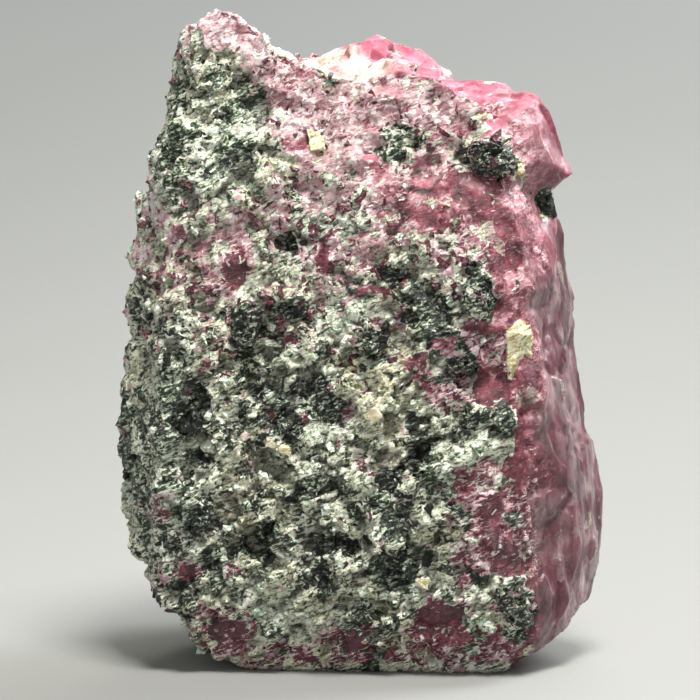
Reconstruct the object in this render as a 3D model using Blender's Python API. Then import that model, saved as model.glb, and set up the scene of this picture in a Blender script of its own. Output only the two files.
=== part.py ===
"""Sapphire crystal: a stout barrel of pink corundum, six-sided, with a broken top and a crust of
amphibole and feldspar grown into its skin.

The crystal is one solid, because all of it grew together. It is shaped in millimetres and scaled to
metres at the end. +Z is up, -Y is the front, and the origin is under the middle of the crystal, on the
flat end that it rests on. Run it in Blender 4.5: blender --background --python part.py
"""

import math

import bmesh
import bpy
from mathutils import Matrix, Vector, noise

MM = 0.001  # one millimetre, in metres

# --- driving dimensions, in millimetres -------------------------------------------------------------
BLOCK = 60.0  # side of the block that the growth faces are cut from
BLANK_TOP = 26.0  # the barrel's height before its top breaks off
BLANK_FOOT = 0.6  # how much longer it is below, until the resting end is ground flat
GRAIN = 0.30  # spacing of the worked surface
TRIANGLES = 8800  # of the finished solid

# The growth faces: the way each one faces in degrees, its distance from the axis where it is furthest
# out, and how far it has come in at each height. A barrel leans in towards both ends.
LEFT_SIDE = ((-1.0, 0.60), (2.0, 0.25), (5.0, 0.02), (8.2, 0.0), (13.6, 0.40), (17.4, 0.80), (26.0, 2.25))
RIGHT_SIDE = ((-1.0, 0.60), (2.4, 0.15), (4.7, 0.0), (8.8, 0.50), (16.0, 1.51), (26.0, 3.0))
CORNER_SIDE = ((-1.0, 1.70), (3.0, 0.70), (6.8, 0.48), (17.0, 0.0), (26.0, -0.40))
FRONT_SIDE = ((-1.0, 2.30), (1.2, 0.60), (3.0, 0.10), (6.0, 0.0), (12.0, 0.35), (26.0, 2.0))
BACK_SIDE = ((-1.0, 2.60), (1.5, 0.80), (4.0, 0.10), (8.0, 0.0), (14.0, 0.50), (26.0, 2.6))
GROWTH_FACES = (
    (-94.0, 6.00, FRONT_SIDE),
    (-56.0, 8.46, CORNER_SIDE),
    (-21.0, 8.66, RIGHT_SIDE),
    (26.0, 7.24, RIGHT_SIDE),
    (86.0, 6.60, BACK_SIDE),
    (146.0, 6.13, LEFT_SIDE),
    (206.0, 8.72, LEFT_SIDE),
)

# The rounded foot: x and z of a point on each worn flat, the way it faces, and its slope under the level.
WORN_EDGES = (
    (-8.45, 4.60, 181.0, 32.0),
    (-6.60, 1.50, 177.0, 45.0),
    (-5.40, 0.38, 184.0, 72.0),
    (8.75, 2.75, 2.0, 36.0),
    (8.05, 1.75, -3.0, 56.0),
    (5.50, 0.45, 4.0, 60.0),
)

# The broken top: its height along the front rim and along the back rim, from left to right.
FRONT_RIM = (
    (-7.4, 21.4), (-6.9, 22.1), (-6.5, 23.1), (-6.0, 23.5), (-5.0, 24.2), (-4.3, 23.9), (-3.3, 22.6),
    (-2.7, 22.0), (-1.5, 21.5), (0.1, 21.0), (0.6, 21.2), (1.0, 21.5), (1.9, 21.2), (3.1, 20.4),
    (4.5, 20.0), (5.8, 19.5), (6.4, 18.7), (7.4, 18.3),
)
BACK_RIM = (
    (-6.5, 21.8), (-3.0, 22.3), (-2.2, 22.3), (-1.4, 22.0), (0.3, 22.5), (1.4, 22.5), (2.3, 22.1),
    (3.2, 21.5), (4.9, 21.3), (7.4, 21.4),
)
RIM_FRONT_Y, RIM_BACK_Y = -4.6, 4.6
HOLLOW = 0.8  # how far the break dips between the rims
BREAK_FROM = 15.0  # below this height the sides keep their place as the top breaks down

# Relief of the skin: blocks of grains about so wide, each tilted and shifted by about so much.
BLOCKS = ((2.8, 0.13), (1.5, 0.14), (0.9, 0.14))
SMOOTH_BLOCKS = ((3.4, 0.14), (1.8, 0.07))  # on the clean corundum at the right
BREAK_BLOCKS = ((2.4, 0.45), (1.2, 0.25))
WEAR = 1  # rounds of smoothing that take the sharpest splinters off
QUIET_BELOW, ROUGH_ABOVE = 0.25, 1.1  # the relief dies away towards the resting end

# Crystals that stand out of the skin, and pits in it: x and z of the middle on the front, half width,
# half height, and how far each one stands out (or sinks in, below zero).
FRONT_CRYSTALS = (
    ("amphibole block", 4.0, 13.6, 0.85, 1.15, 0.38),
    ("green cluster", 4.6, 18.4, 0.90, 0.85, 0.30),
    ("foot cluster", 5.9, 2.4, 0.90, 1.30, 0.34),
    ("upright prism", -4.2, 12.4, 0.40, 0.75, 0.34),
    ("arched prism", -2.7, 13.2, 0.95, 0.42, 0.28),
    ("stub", 0.5, 12.0, 0.45, 0.50, 0.26),
    ("feldspar wedge", 5.6, 11.6, 0.55, 0.85, -0.22),
    ("flank cluster", -6.7, 8.9, 0.80, 0.90, 0.26),
    ("corner pit", -5.8, 7.1, 0.45, 0.42, -0.45),
    ("shoulder pit", 2.3, 17.5, 0.50, 0.36, -0.42),
    ("belly pit", 1.0, 3.5, 0.50, 0.45, -0.40),
    ("middle pit", -1.2, 8.7, 0.40, 0.60, -0.35),
    ("waist pit", 3.7, 10.4, 0.55, 0.35, -0.35),
    ("low pit", -3.6, 4.7, 0.40, 0.55, -0.35),
)
CRUST_STEP = 0.22  # thickness of the green crust on the upper left, which ends in a small step
SHOULDER_OUT = 1.15  # how far the corner block at the upper right stands out of the face below it
SHOULDER_AT = (-4.0, 40.0, 16.6)  # its direction and half width in degrees, and its lower edge
NOTCH_AT, NOTCH_RADIUS, NOTCH_DEPTH = (5.6, -5.4, 0.3), 0.9, 0.45  # chip out of the right foot

PINK = (0.42, 0.11, 0.20, 1.0)


def clear_scene():
    """Removes whatever the scene holds."""
    for obj in list(bpy.data.objects):
        bpy.data.objects.remove(obj)


def ease(low, high, value):
    """0 below low, 1 above high, and a smooth rise between them."""
    share = max(0.0, min(1.0, (value - low) / (high - low)))
    return share * share * (3.0 - 2.0 * share)


def along(points, x):
    """The height at x of a line through (x, height) points."""
    if x <= points[0][0]:
        return points[0][1]
    for (x0, z0), (x1, z1) in zip(points, points[1:]):
        if x <= x1:
            return z0 + (z1 - z0) * (x - x0) / (x1 - x0)
    return points[-1][1]


def cut(bm, point, normal):
    """Takes off what lies beyond a plane, and closes the cut with one flat face."""
    geometry = bm.verts[:] + bm.edges[:] + bm.faces[:]
    made = bmesh.ops.bisect_plane(
        bm, geom=geometry, plane_co=point, plane_no=normal, clear_outer=True, dist=1e-5
    )
    rim = [e for e in made["geom_cut"] if isinstance(e, bmesh.types.BMEdge)]
    if rim:
        bmesh.ops.edgenet_fill(bm, edges=rim)


def barrel():
    """The crystal as it grew: a block cut by six faces, each in bands that lean in towards the ends."""
    bm = bmesh.new()
    bmesh.ops.create_cube(bm, size=BLOCK)
    cut(bm, Vector((0.0, 0.0, BLANK_TOP)), Vector((0.0, 0.0, 1.0)))
    cut(bm, Vector((0.0, 0.0, -BLANK_FOOT)), Vector((0.0, 0.0, -1.0)))
    for direction, distance, profile in GROWTH_FACES:
        outward = Vector((math.cos(math.radians(direction)), math.sin(math.radians(direction)), 0.0))
        for (low, low_inset), (high, high_inset) in zip(profile, profile[1:]):
            lean = math.atan2(high_inset - low_inset, high - low)
            normal = outward * math.cos(lean) + Vector((0.0, 0.0, math.sin(lean)))
            cut(bm, outward * (distance - low_inset) + Vector((0.0, 0.0, low)), normal)
    for x, z, direction, slope in WORN_EDGES:
        level, down = math.cos(math.radians(slope)), math.sin(math.radians(slope))
        angle = math.radians(direction)
        cut(bm, Vector((x, 0.0, z)), Vector((level * math.cos(angle), level * math.sin(angle), -down)))
    bmesh.ops.recalc_face_normals(bm, faces=bm.faces[:])
    return bm


def worked(bm, name, modifier, **settings):
    """The shape after one of Blender's modifiers, as a new bmesh."""
    mesh = bpy.data.meshes.new(name)
    bm.to_mesh(mesh)
    bm.free()
    obj = bpy.data.objects.new(name, mesh)
    bpy.context.scene.collection.objects.link(obj)
    added = obj.modifiers.new(modifier.lower(), modifier)
    for key, value in settings.items():
        setattr(added, key, value)
    graph = bpy.context.evaluated_depsgraph_get()
    result = bmesh.new()
    result.from_object(obj, graph)
    bpy.data.objects.remove(obj)
    return result


def top_height(x, y):
    """Height of the broken top over a point."""
    back = max(0.0, min(1.0, (y - RIM_FRONT_Y) / (RIM_BACK_Y - RIM_FRONT_Y)))
    height = along(FRONT_RIM, x) * (1.0 - back) + along(BACK_RIM, x) * back
    return height - HOLLOW * 4.0 * back * (1.0 - back)


def break_top(bm):
    """Brings the flat upper end down to the broken surface, and eases the sides down with it."""
    for v in bm.verts:
        if v.co.z > BREAK_FROM:
            share = (v.co.z - BREAK_FROM) / (BLANK_TOP - BREAK_FROM)
            v.co.z = BREAK_FROM + share * (top_height(v.co.x, v.co.y) - BREAK_FROM)


def block_relief(point, width, height):
    """Height of a skin of angular blocks: each Voronoi cell is a small plane, tilted its own way."""
    nearest = noise.voronoi(point / width)[1][0]
    tilt = noise.cell_vector(nearest * 7919.0) * 2.0 - Vector((1.0, 1.0, 1.0))
    shift = noise.cell(nearest * 104729.0) - 0.5
    return height * (1.4 * tilt.dot(point / width - nearest) + 0.9 * shift)


def stud(point, x, z, half_width, half_height, out):
    """A crystal or a pit on the front: flat in the middle, with a steep angular edge."""
    if point.y > 0.0:
        return 0.0
    across = max(abs(point.x - x) / half_width, abs(point.z - z) / half_height)
    slant = (abs(point.x - x) / half_width + abs(point.z - z) / half_height) / 1.45
    return out * (1.0 - ease(0.75, 1.15, max(across, slant)))


def clean_corundum(point):
    """1 over the glossy faces at the right, which carry no crust, and 0 over the granular front."""
    edge = 5.3 + 0.4 * noise.noise(point * 0.7)
    return ease(edge - 0.2, edge + 0.3, point.x) * ease(3.5, 2.5, point.y)


def crust(point):
    """The thicker green crust over the upper left of the front."""
    edge = -2.9 - 0.9 * ease(19.0, 16.0, point.z) + 0.5 * noise.noise(point * 0.9)
    inside = ease(edge + 0.25, edge - 0.25, point.x) * ease(14.5, 16.5, point.z)
    return CRUST_STEP * inside * ease(23.2, 22.2, point.z) * ease(1.0, -1.0, point.y)


def shoulder(point):
    """The block at the upper right corner, which overhangs the face below it a little."""
    direction, half_width, low = SHOULDER_AT
    turned = abs(math.degrees(math.atan2(point.y, point.x)) - direction)
    edge = low + 0.5 * noise.noise(point * 0.55) + 1.4 * (turned / half_width) ** 2
    return SHOULDER_OUT * ease(half_width, half_width * 0.4, turned) * ease(edge - 0.25, edge + 0.25, point.z)


def notch(point):
    """The chip out of the foot at the right."""
    away = (point - Vector(NOTCH_AT)).length
    return -NOTCH_DEPTH * (1.0 - ease(NOTCH_RADIUS * 0.5, NOTCH_RADIUS, away))


def roughen(bm):
    """Moves the skin in and out: blocks of grains, the crystals and pits, the crust, shoulder and notch."""
    bm.normal_update()
    moves = []
    for v in bm.verts:
        point = v.co.copy()
        broken = ease(0.45, 0.8, v.normal.z)
        clean = (1.0 - broken) * clean_corundum(point)
        relief = (1.0 - broken - clean) * sum(block_relief(point, w, h) for w, h in BLOCKS)
        relief += clean * sum(block_relief(point, w, h) for w, h in SMOOTH_BLOCKS)
        relief += broken * sum(block_relief(point, w, h) for w, h in BREAK_BLOCKS)
        form = sum(stud(point, *sizes) for _, *sizes in FRONT_CRYSTALS)
        form += crust(point) + shoulder(point) + notch(point)
        moves.append(relief * ease(QUIET_BELOW, ROUGH_ABOVE, point.z) + form * (1.0 - broken))
    for v, move in zip(bm.verts, moves):
        v.co += v.normal * move
    for _ in range(WEAR):
        bmesh.ops.smooth_vert(
            bm, verts=bm.verts[:], factor=0.5, use_axis_x=True, use_axis_y=True, use_axis_z=True
        )


def stand_on_base(bm):
    """Grinds the lower end flat at height 0, and centres the crystal's box on the origin."""
    cut(bm, Vector((0.0, 0.0, 0.0)), Vector((0.0, 0.0, -1.0)))
    lows = [min(v.co[axis] for v in bm.verts) for axis in range(3)]
    highs = [max(v.co[axis] for v in bm.verts) for axis in range(3)]
    centre = Vector(((lows[0] + highs[0]) / 2, (lows[1] + highs[1]) / 2, lows[2]))
    bmesh.ops.translate(bm, verts=bm.verts[:], vec=-centre)


def corundum():
    """Pink corundum: glossy and hard, with a faint purple cast."""
    material = bpy.data.materials.new("pink_corundum")
    material.use_nodes = True
    shader = material.node_tree.nodes["Principled BSDF"]
    shader.inputs["Base Color"].default_value = PINK
    shader.inputs["Roughness"].default_value = 0.35
    shader.inputs["IOR"].default_value = 1.77
    return material


def sapphire_crystal():
    """The whole crystal, as one object."""
    bm = worked(barrel(), "blank", "REMESH", mode="VOXEL", voxel_size=GRAIN)
    break_top(bm)
    roughen(bm)
    bmesh.ops.triangulate(bm, faces=bm.faces[:])
    share = TRIANGLES / len(bm.faces)
    bm = worked(bm, "worked", "DECIMATE", ratio=min(1.0, share))
    stand_on_base(bm)
    bmesh.ops.triangulate(bm, faces=bm.faces[:])
    bmesh.ops.transform(bm, matrix=Matrix.Scale(MM, 4), verts=bm.verts[:])
    mesh = bpy.data.meshes.new("sapphire_crystal")
    bm.to_mesh(mesh)
    bm.free()
    mesh.materials.append(corundum())
    crystal = bpy.data.objects.new("sapphire_crystal", mesh)
    bpy.context.scene.collection.objects.link(crystal)
    return crystal


clear_scene()
sapphire_crystal()
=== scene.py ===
# %% [markdown]
# # A pink sapphire crystal with its crust of dark and pale rock grains
#
# The stone is one stout barrel of corundum about 23 mm tall. It grew in a rock of amphibole and feldspar,
# and broke out of it with grains of both still locked into its skin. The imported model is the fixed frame:
# it gives the crystal's size and its faces, and everything here stays on that skin.

# %% The frame, and the box that the solid fills
import math
import random

import bmesh
import bpy
import numpy as np
from mathutils import Matrix, Vector, noise
from mathutils.bvhtree import BVHTree


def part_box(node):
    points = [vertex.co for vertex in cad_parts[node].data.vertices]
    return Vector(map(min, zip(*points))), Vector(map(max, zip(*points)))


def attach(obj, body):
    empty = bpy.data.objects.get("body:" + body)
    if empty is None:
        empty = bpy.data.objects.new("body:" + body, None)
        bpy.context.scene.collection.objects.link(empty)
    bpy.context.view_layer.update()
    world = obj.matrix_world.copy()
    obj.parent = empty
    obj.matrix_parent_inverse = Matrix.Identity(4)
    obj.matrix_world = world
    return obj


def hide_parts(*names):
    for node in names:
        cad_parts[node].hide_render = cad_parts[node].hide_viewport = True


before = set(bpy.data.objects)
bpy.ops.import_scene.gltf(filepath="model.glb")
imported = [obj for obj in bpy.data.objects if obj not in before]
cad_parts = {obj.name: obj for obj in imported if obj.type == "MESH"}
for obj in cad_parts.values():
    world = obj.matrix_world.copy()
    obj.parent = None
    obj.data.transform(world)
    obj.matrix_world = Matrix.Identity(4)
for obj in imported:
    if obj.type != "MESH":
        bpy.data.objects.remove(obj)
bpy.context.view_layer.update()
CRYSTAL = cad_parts["sapphire_crystal"]
MM = 0.001
LOW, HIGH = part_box("sapphire_crystal")
print("crystal, mm:", [round((HIGH[i] - LOW[i]) / MM, 2) for i in range(3)])

# %% [markdown]
# ## Colours
#
# Colours are picked as sRGB hex values, the way that a screen shows them, but Blender's shaders want linear
# light. One function turns them, so that every colour below can be read in any paint program.

# %% One function from hex to linear light
def linear(hex_colour):
    """A linear RGBA colour from an sRGB hex value such as "c46a86"."""
    parts = [int(hex_colour[i:i + 2], 16) / 255.0 for i in (0, 2, 4)]
    light = [p / 12.92 if p <= 0.04045 else ((p + 0.055) / 1.055) ** 2.4 for p in parts]
    return (*light, 1.0)


print("mid pink in linear light:", [round(c, 3) for c in linear("c46a86")])

# %% [markdown]
# ## The skin of the stone
#
# The frame's solid has facets about half a millimetre across. The real skin has steps and grains down to a
# tenth of that, so a copy of the solid is made into even small quads, which can then be pushed in and out.
# Subdividing it would keep its long, thin triangles. A voxel remesh was chosen, because it gives one closed
# skin of even squares.

# %% A fine, closed copy of the frame's solid
SKIN_STEP = 0.132 * MM  # spacing of the fine skin, which keeps it under 200,000 triangles
TINY = 1e-6  # metres; points nearer than this are one point


def mesh_from(bm, name):
    """The bmesh as a mesh of that name. The bmesh is freed."""
    mesh = bpy.data.meshes.new(name)
    bm.to_mesh(mesh)
    bm.free()
    return mesh


def in_scene(name, data):
    """A new object that holds a mesh, a light or a camera, linked to the scene."""
    obj = bpy.data.objects.new(name, data)
    bpy.context.scene.collection.objects.link(obj)
    return obj


def fine_skin():
    """The solid again, as one closed skin of quads about SKIN_STEP across."""
    bm = bmesh.new()
    bm.from_mesh(CRYSTAL.data)
    bmesh.ops.remove_doubles(bm, verts=bm.verts[:], dist=TINY)
    merged = mesh_from(bm, "merged_solid")
    coarse = in_scene("coarse", merged)
    remesh = coarse.modifiers.new("even_quads", "REMESH")
    remesh.mode = "VOXEL"
    remesh.voxel_size = SKIN_STEP
    skin = bmesh.new()
    skin.from_object(coarse, bpy.context.evaluated_depsgraph_get())
    bpy.data.objects.remove(coarse)
    bpy.data.meshes.remove(merged)
    return skin


skin = fine_skin()
skin.normal_update()
print("skin quads:", len(skin.faces))

# %% [markdown]
# ## Where each mineral lies
#
# The clean, glossy corundum is on the right and on the broken top. The crust of dark amphibole and pale
# feldspar covers the front and the left. Each mineral's share is a number on every point of the skin, which
# both the shapes and the shader read. The shares are painted as soft-edged patches, because the real crust
# is patchy in the same way: a cluster here, a bare window there. A noise bends the patches' edges.
#
# A patch's place is where the eye sees it, on an upright card through the middle of the crystal. Plain x and
# z would serve an eye that is far away. This one is close and a little above, so a ledge that stands nearer
# looks larger and lower, and its patches would slip off it.

# %% The skin's points, and how they are seen from the front
SEEN_FROM = 6.0  # degrees above the level that the crystal is seen from
SEEN_DISTANCE = 120.0  # mm
SEEN_MIDDLE = (-0.45, 0.0, 10.75)  # mm; what the eye, and later the camera, looks at
CARD_HEIGHT, CARD_SCALE = 11.47, 1.006  # of the view's middle on the card, in mm, and the card's size
NOISE_SEED = 9
BROAD_BEND, FINE_BEND, LUMPS = (1.1, 0.45, 3.1), (0.35, 0.16, 8.7), (2.4, 1.0, 5.5)  # size, reach, seed
FRONT_TURN, FRONT_DEPTH = (-0.05, 0.12), (3.5, 1.5)  # how squarely the front faces the eye, and its y in mm
BREAK_SLOPE, BREAK_FOOT = (0.45, 0.75), (15.0, 18.0)  # how level the broken top is, and its z in mm


def point_arrays(bm):
    """The points of a mesh in mm, and their normals, as two arrays."""
    places = np.array([v.co[:] for v in bm.verts]) / MM
    normals = np.array([v.normal[:] for v in bm.verts])
    return places, normals


def ease(low, high, value):
    """0 below low, 1 above high and a smooth rise between them, for one number or an array."""
    share = np.clip((value - low) / (high - low), 0.0, 1.0)
    return share * share * (3.0 - 2.0 * share)


noise.seed_set(NOISE_SEED)  # without a seed, noise vectors follow the clock and differ from run to run


def wander(places, size, reach, seed):
    """A smooth random shift of up to about reach mm, in lumps of size mm."""
    shift = Vector((seed, seed * 1.7, seed * 0.3))
    return np.array([noise.noise_vector(Vector(p) / size + shift)[:] for p in places]) * reach


def sight():
    """Unit vectors of the view: forwards, and up in the picture."""
    tilt = math.radians(SEEN_FROM)
    return (0.0, math.cos(tilt), -math.sin(tilt)), (0.0, math.sin(tilt), math.cos(tilt))


def on_card(points):
    """How far across and up points in mm are seen, on a card held at the crystal's middle."""
    forwards, up = sight()
    away = points - np.array(SEEN_MIDDLE)
    nearness = CARD_SCALE * SEEN_DISTANCE / (SEEN_DISTANCE + away @ np.array(forwards))
    return SEEN_MIDDLE[0] + nearness * away[:, 0], CARD_HEIGHT + nearness * (away @ np.array(up))


places, normals = point_arrays(skin)
bent = places + wander(places, *BROAD_BEND) + wander(places, *FINE_BEND)
across, upward = on_card(bent)
front = ease(*FRONT_TURN, normals @ -np.array(sight()[0])) * ease(*FRONT_DEPTH, places[:, 1])
top = ease(*BREAK_SLOPE, normals[:, 2]) * ease(*BREAK_FOOT, places[:, 2])
green_lumps, bare_lumps, dark_lumps = wander(places, *LUMPS).T
print("points on the front:", int((front > 0.5).sum()), "of", len(places))

# %% [markdown]
# The broad pattern comes first. Bare corundum is most of the right side, half of the back, and little of the
# left. The broken top is corundum too, because a fresh break has had no time to gather a crust. The pattern
# could be painted by hand, but a formula goes all the way round and can be tuned in one place. Each share
# below starts from its usual value, and adds what the upper half, the sides and the lumps change.

# %% The broad pattern, all the way round
CLEAN_EDGE, SMOOTH_EDGE = (4.65, 5.25), (5.9, 6.7)  # x in mm where crust ends, where frosted turns smooth
CLEAN_BACK, SMOOTH_BACK = (4.0, 2.0), (5.0, 3.0)  # y in mm up to which those edges hold
RIGHT_WAY, CLEAN_REACH, SMOOTH_REACH = 15.0, 40.0, 36.0  # degrees round from +x, and to either side
BACK_WAY, BACK_REACH, FADE = 95.0, 30.0, 12.0  # the half-bare part of the back, and how soon a side fades
UPPER_HALF, UPPER_SLANT = (11.5, 15.5), 0.25  # mm over which the crust thins out upwards, less so rightwards
TOP_BACK, TOP_START = (18.5, 20.3), (-1.0, 1.0)  # z and y in mm where the back of the broken top starts
PEAK_SIDE, PEAK_FOOT = (-3.2, -4.2), (21.4, 22.4)  # x and z in mm where the peak starts
FLANK = (-5.5, -7.2)  # x in mm where the front turns away at the left
CLEAN_SHARE, BROKEN_SHARE = 0.985, 0.96  # of bare corundum
around = np.degrees(np.arctan2(bent[:, 1], bent[:, 0]))
high, back = places[:, 2], bent[:, 1]


def facing(centre, half_width):
    """1 on the part of the skin that lies that way from the axis, fading out past half_width degrees."""
    turned = np.abs((around - centre + 180.0) % 360.0 - 180.0)
    return ease(half_width + FADE, half_width - FADE, turned)


def right_side(edge, hidden, reach):
    """1 right of a wavy edge, and on round the right side as far as reach degrees."""
    wavy = across - 0.8 * bare_lumps - 0.5 * green_lumps
    return np.maximum(ease(*edge, wavy) * ease(*hidden, back), facing(RIGHT_WAY, reach))


clean_side = right_side(CLEAN_EDGE, CLEAN_BACK, CLEAN_REACH)
smooth_side = right_side(SMOOTH_EDGE, SMOOTH_BACK, SMOOTH_REACH)
upper = ease(*UPPER_HALF, upward - UPPER_SLANT * across) * front
over_back = ease(*TOP_BACK, high) * ease(*TOP_START, back)
peak = ease(*PEAK_SIDE, across) * ease(*PEAK_FOOT, high)
flank = ease(*FLANK, across)

bare = 0.015 + (0.60 + 0.06 * across) * upper + facing(BACK_WAY, BACK_REACH) * (0.50 + 0.9 * green_lumps)
bare = np.clip(bare + (0.12 + 0.38 * upper) * bare_lumps, 0.01, 0.97)
bare = bare + (CLEAN_SHARE - bare) * clean_side
bare = bare + (BROKEN_SHARE - bare) * np.maximum(top, over_back)
top, over_back = top * (1.0 - peak), over_back * (1.0 - peak)  # the peak is older than the break beside it
dark = 0.25 - 0.20 * upper + 0.06 * ease(10.0, 6.0, high)  # painted shade: a little darker towards the foot
# the left flank turns from the light: its extra amphibole is partly real dark grains and partly painted shade
dark = dark + flank * (0.12 + 0.12 * ease(14.5, 11.0, high))
dark = np.clip(dark + 0.60 * dark_lumps, 0.06, 0.85)
green = 0.50 + 0.40 * green_lumps
# painted light: the corundum is painted lighter and pinker higher up and on the broken top, where the lamp
# above shines through it
painted_glow = np.clip(0.15 + 0.65 * ease(6.0, 18.0, high) + 0.25 * bare_lumps + 0.3 * top, 0.0, 1.0)
warm = 0.36 - 0.65 * green_lumps - 0.15 * flank
frost = np.maximum((0.15 + 0.35 * upper) * (1.0 - over_back), 0.9 * peak)
print("clean side, share of the points:", round(float(clean_side.mean()), 2))

# %% [markdown]
# Then come the patches on the front, each with its place and half size in millimetres, a share, and for some
# a turn in degrees. They could be painted on an image, but an ellipse in a table has a name and a real size,
# and can be moved by a tenth of a millimetre. A patch pulls one of the shares towards a value, so that a
# later patch can lie over an earlier one.

# %% One patch
PATCH_EDGE = (1.25, 0.75)  # where a patch fades, as shares of its half size


def patch_mask(x, height, half_width, half_height, turn=0.0):
    """1 inside an ellipse on the front, turned by so many degrees, and 0 outside it, with a soft edge."""
    turned = math.radians(turn)
    along = (across - x) * math.cos(turned) + (upward - height) * math.sin(turned)
    over = (upward - height) * math.cos(turned) - (across - x) * math.sin(turned)
    return front * ease(*PATCH_EDGE, np.sqrt((along / half_width) ** 2 + (over / half_height) ** 2))


def lay(shares, patches):
    """Pulls the shares towards the last value of each patch, one patch after another."""
    for _, x, height, half_width, half_height, share, *turn in patches:
        shares += (share - shares) * patch_mask(x, height, half_width, half_height, *turn)


print("points in a patch of one millimetre:", int((patch_mask(0.0, 12.0, 1.0, 1.0) > 0.5).sum()))

# %% [markdown]
# Bare corundum shows where the crust has come away: along the broken rim, in a band that slants across the
# front, in windows at both sides and at the foot. A threshold on noise would open windows anywhere, and here
# they follow the band and the rim.

# %% Patches of bare corundum
BARE_PATCHES = (  # x, height, half width, half height, share of bare corundum
    ("crust above left", -5.2, 19.5, 2.1, 2.8, 0.03), ("peak cap", -4.6, 23.2, 2.2, 0.95, 0.97, -45.0),
    ("left sliver", -6.6, 22.7, 0.35, 0.55, 0.85), ("rim by the peak", -2.9, 21.5, 1.0, 0.9, 0.97),
    ("crown", -1.0, 20.4, 2.3, 1.2, 0.95), ("crown window", -2.8, 19.2, 0.7, 0.7, 0.85),
    ("rim", 2.1, 20.1, 2.4, 0.75, 0.95), ("right rim", 5.0, 19.4, 1.7, 0.5, 0.93),
    ("behind the rim", 5.3, 20.1, 1.7, 0.8, 0.98), ("shoulder", 6.6, 19.4, 1.3, 1.6, 0.98),
    ("upper middle", -2.3, 18.3, 1.5, 1.0, 0.66), ("middle", -0.6, 17.0, 1.1, 1.0, 0.62),
    ("left window", -4.8, 14.7, 1.0, 1.0, 0.60), ("left window's heart", -4.5, 14.5, 0.45, 0.5, 0.97),
    ("left edge", -7.5, 14.9, 0.9, 1.1, 0.32), ("streak", -1.3, 14.7, 0.35, 1.1, 0.75),
    ("thin streak", 0.5, 13.7, 0.9, 0.25, 0.65), ("band", 3.0, 16.9, 3.6, 1.1, 0.86, -24.0),
    ("band's heart", 3.6, 17.3, 1.3, 0.6, 0.98), ("right window", 5.4, 15.8, 1.4, 1.0, 0.98, -20.0),
    ("under the band", 2.4, 15.4, 1.4, 0.6, 0.60), ("beside the block", 5.1, 14.2, 0.55, 0.9, 0.90),
    ("below the block", 4.4, 12.4, 0.95, 0.4, 0.92), ("waist", 3.6, 10.8, 1.7, 1.3, 0.72),
    ("waist's heart", 4.6, 10.2, 0.6, 0.7, 0.97), ("low right", 4.5, 5.6, 1.2, 2.4, 0.88, -12.0),
    ("right foot", 3.9, 1.2, 2.3, 1.1, 0.85), ("middle foot", -0.5, 1.0, 0.7, 0.7, 0.62),
    ("foot strip", -0.4, 0.5, 5.4, 0.45, 0.50), ("left foot", -5.0, 1.4, 1.1, 1.1, 0.58),
    ("low left spot", -7.3, 5.7, 0.4, 0.45, 0.55), ("lower left spot", -6.4, 3.5, 0.4, 0.4, 0.55),
    ("low spot", -4.8, 3.7, 0.35, 0.35, 0.55), ("upper right", 1.2, 15.6, 0.8, 0.5, 0.50),
    ("middle of the belly", 0.2, 7.2, 0.4, 0.4, 0.35),
)
lay(bare, BARE_PATCHES)
print("bare corundum, mean share:", round(float(bare.mean()), 2))

# %% [markdown]
# The crust is amphibole and feldspar. They keep together in lumps of a millimetre or two, so both have a
# table, and a patch of either also covers the corundum below it. One noise could part them, but its lumps
# would all be of one size.

# %% Patches of amphibole and feldspar
DARK_PATCHES = (  # x, height, half width, half height, share of amphibole in the crust
    ("crust above left", -5.3, 19.4, 2.0, 2.5, 0.40), ("flank grain", -6.3, 9.2, 0.85, 0.85, 0.95),
    ("small flank grain", -5.9, 7.65, 0.46, 0.38, 0.97),
    ("brown flank grain", -4.2, 7.9, 0.32, 0.50, 0.85), ("below the prism", -3.9, 10.5, 0.38, 0.75, 0.80),
    ("upright prism", -4.2, 12.2, 0.55, 0.8, 0.95), ("arch", -2.3, 12.9, 0.85, 0.35, 0.9),
    ("middle grain", -2.6, 15.4, 0.45, 0.4, 0.85), ("stub", 0.45, 11.8, 0.55, 0.6, 0.97),
    ("upper stub", 1.0, 14.2, 0.5, 0.5, 0.92), ("green cluster", 4.6, 18.3, 0.95, 0.95, 0.85),
    ("shoulder lump", 6.75, 16.7, 0.32, 0.65, 0.9), ("block", 4.15, 13.8, 0.58, 1.05, 0.72),
    ("waist grain", 3.7, 10.9, 0.5, 0.42, 0.9), ("belly prism", -1.5, 9.6, 0.5, 0.95, 0.92),
    ("left belly", -2.6, 8.6, 0.8, 0.5, 0.8), ("right belly", 4.05, 8.9, 0.65, 0.45, 0.85),
    ("slant", 1.9, 7.6, 1.8, 0.32, 0.95, 38.0), ("low middle", -1.9, 6.4, 0.9, 0.40, 0.85),
    ("lower middle", -1.0, 4.4, 0.75, 0.5, 0.85), ("low left", -3.5, 5.0, 0.45, 0.5, 0.85),
    ("lower left", -5.8, 5.4, 0.5, 0.6, 0.85), ("left slope", -6.6, 6.6, 0.8, 0.34, 0.85),
    ("below the left shelf", -3.6, 6.4, 0.5, 0.32, 0.75),
    ("beside the block", 2.8, 13.3, 0.45, 0.42, 0.80), ("foot grain", 1.2, 3.4, 0.9, 0.75, 0.95),
    ("left foot grain", -1.7, 3.2, 0.8, 0.6, 0.92), ("foot cluster", 5.6, 2.4, 0.8, 1.2, 0.95),
    ("right waist", 4.95, 9.1, 0.45, 0.5, 0.85), ("low right grain", 3.3, 5.3, 0.5, 0.5, 0.85),
    ("dark flank", -6.6, 12.0, 0.4, 1.6, 0.42), ("upper cluster", 1.3, 18.9, 0.85, 0.65, 0.55),
    ("crust grain", -4.3, 21.1, 0.4, 0.5, 0.85), ("left rim of the crust", -7.0, 19.3, 0.35, 2.6, 0.8),
    ("crust's middle", -4.6, 19.4, 0.7, 0.7, 0.65),
)
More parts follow.
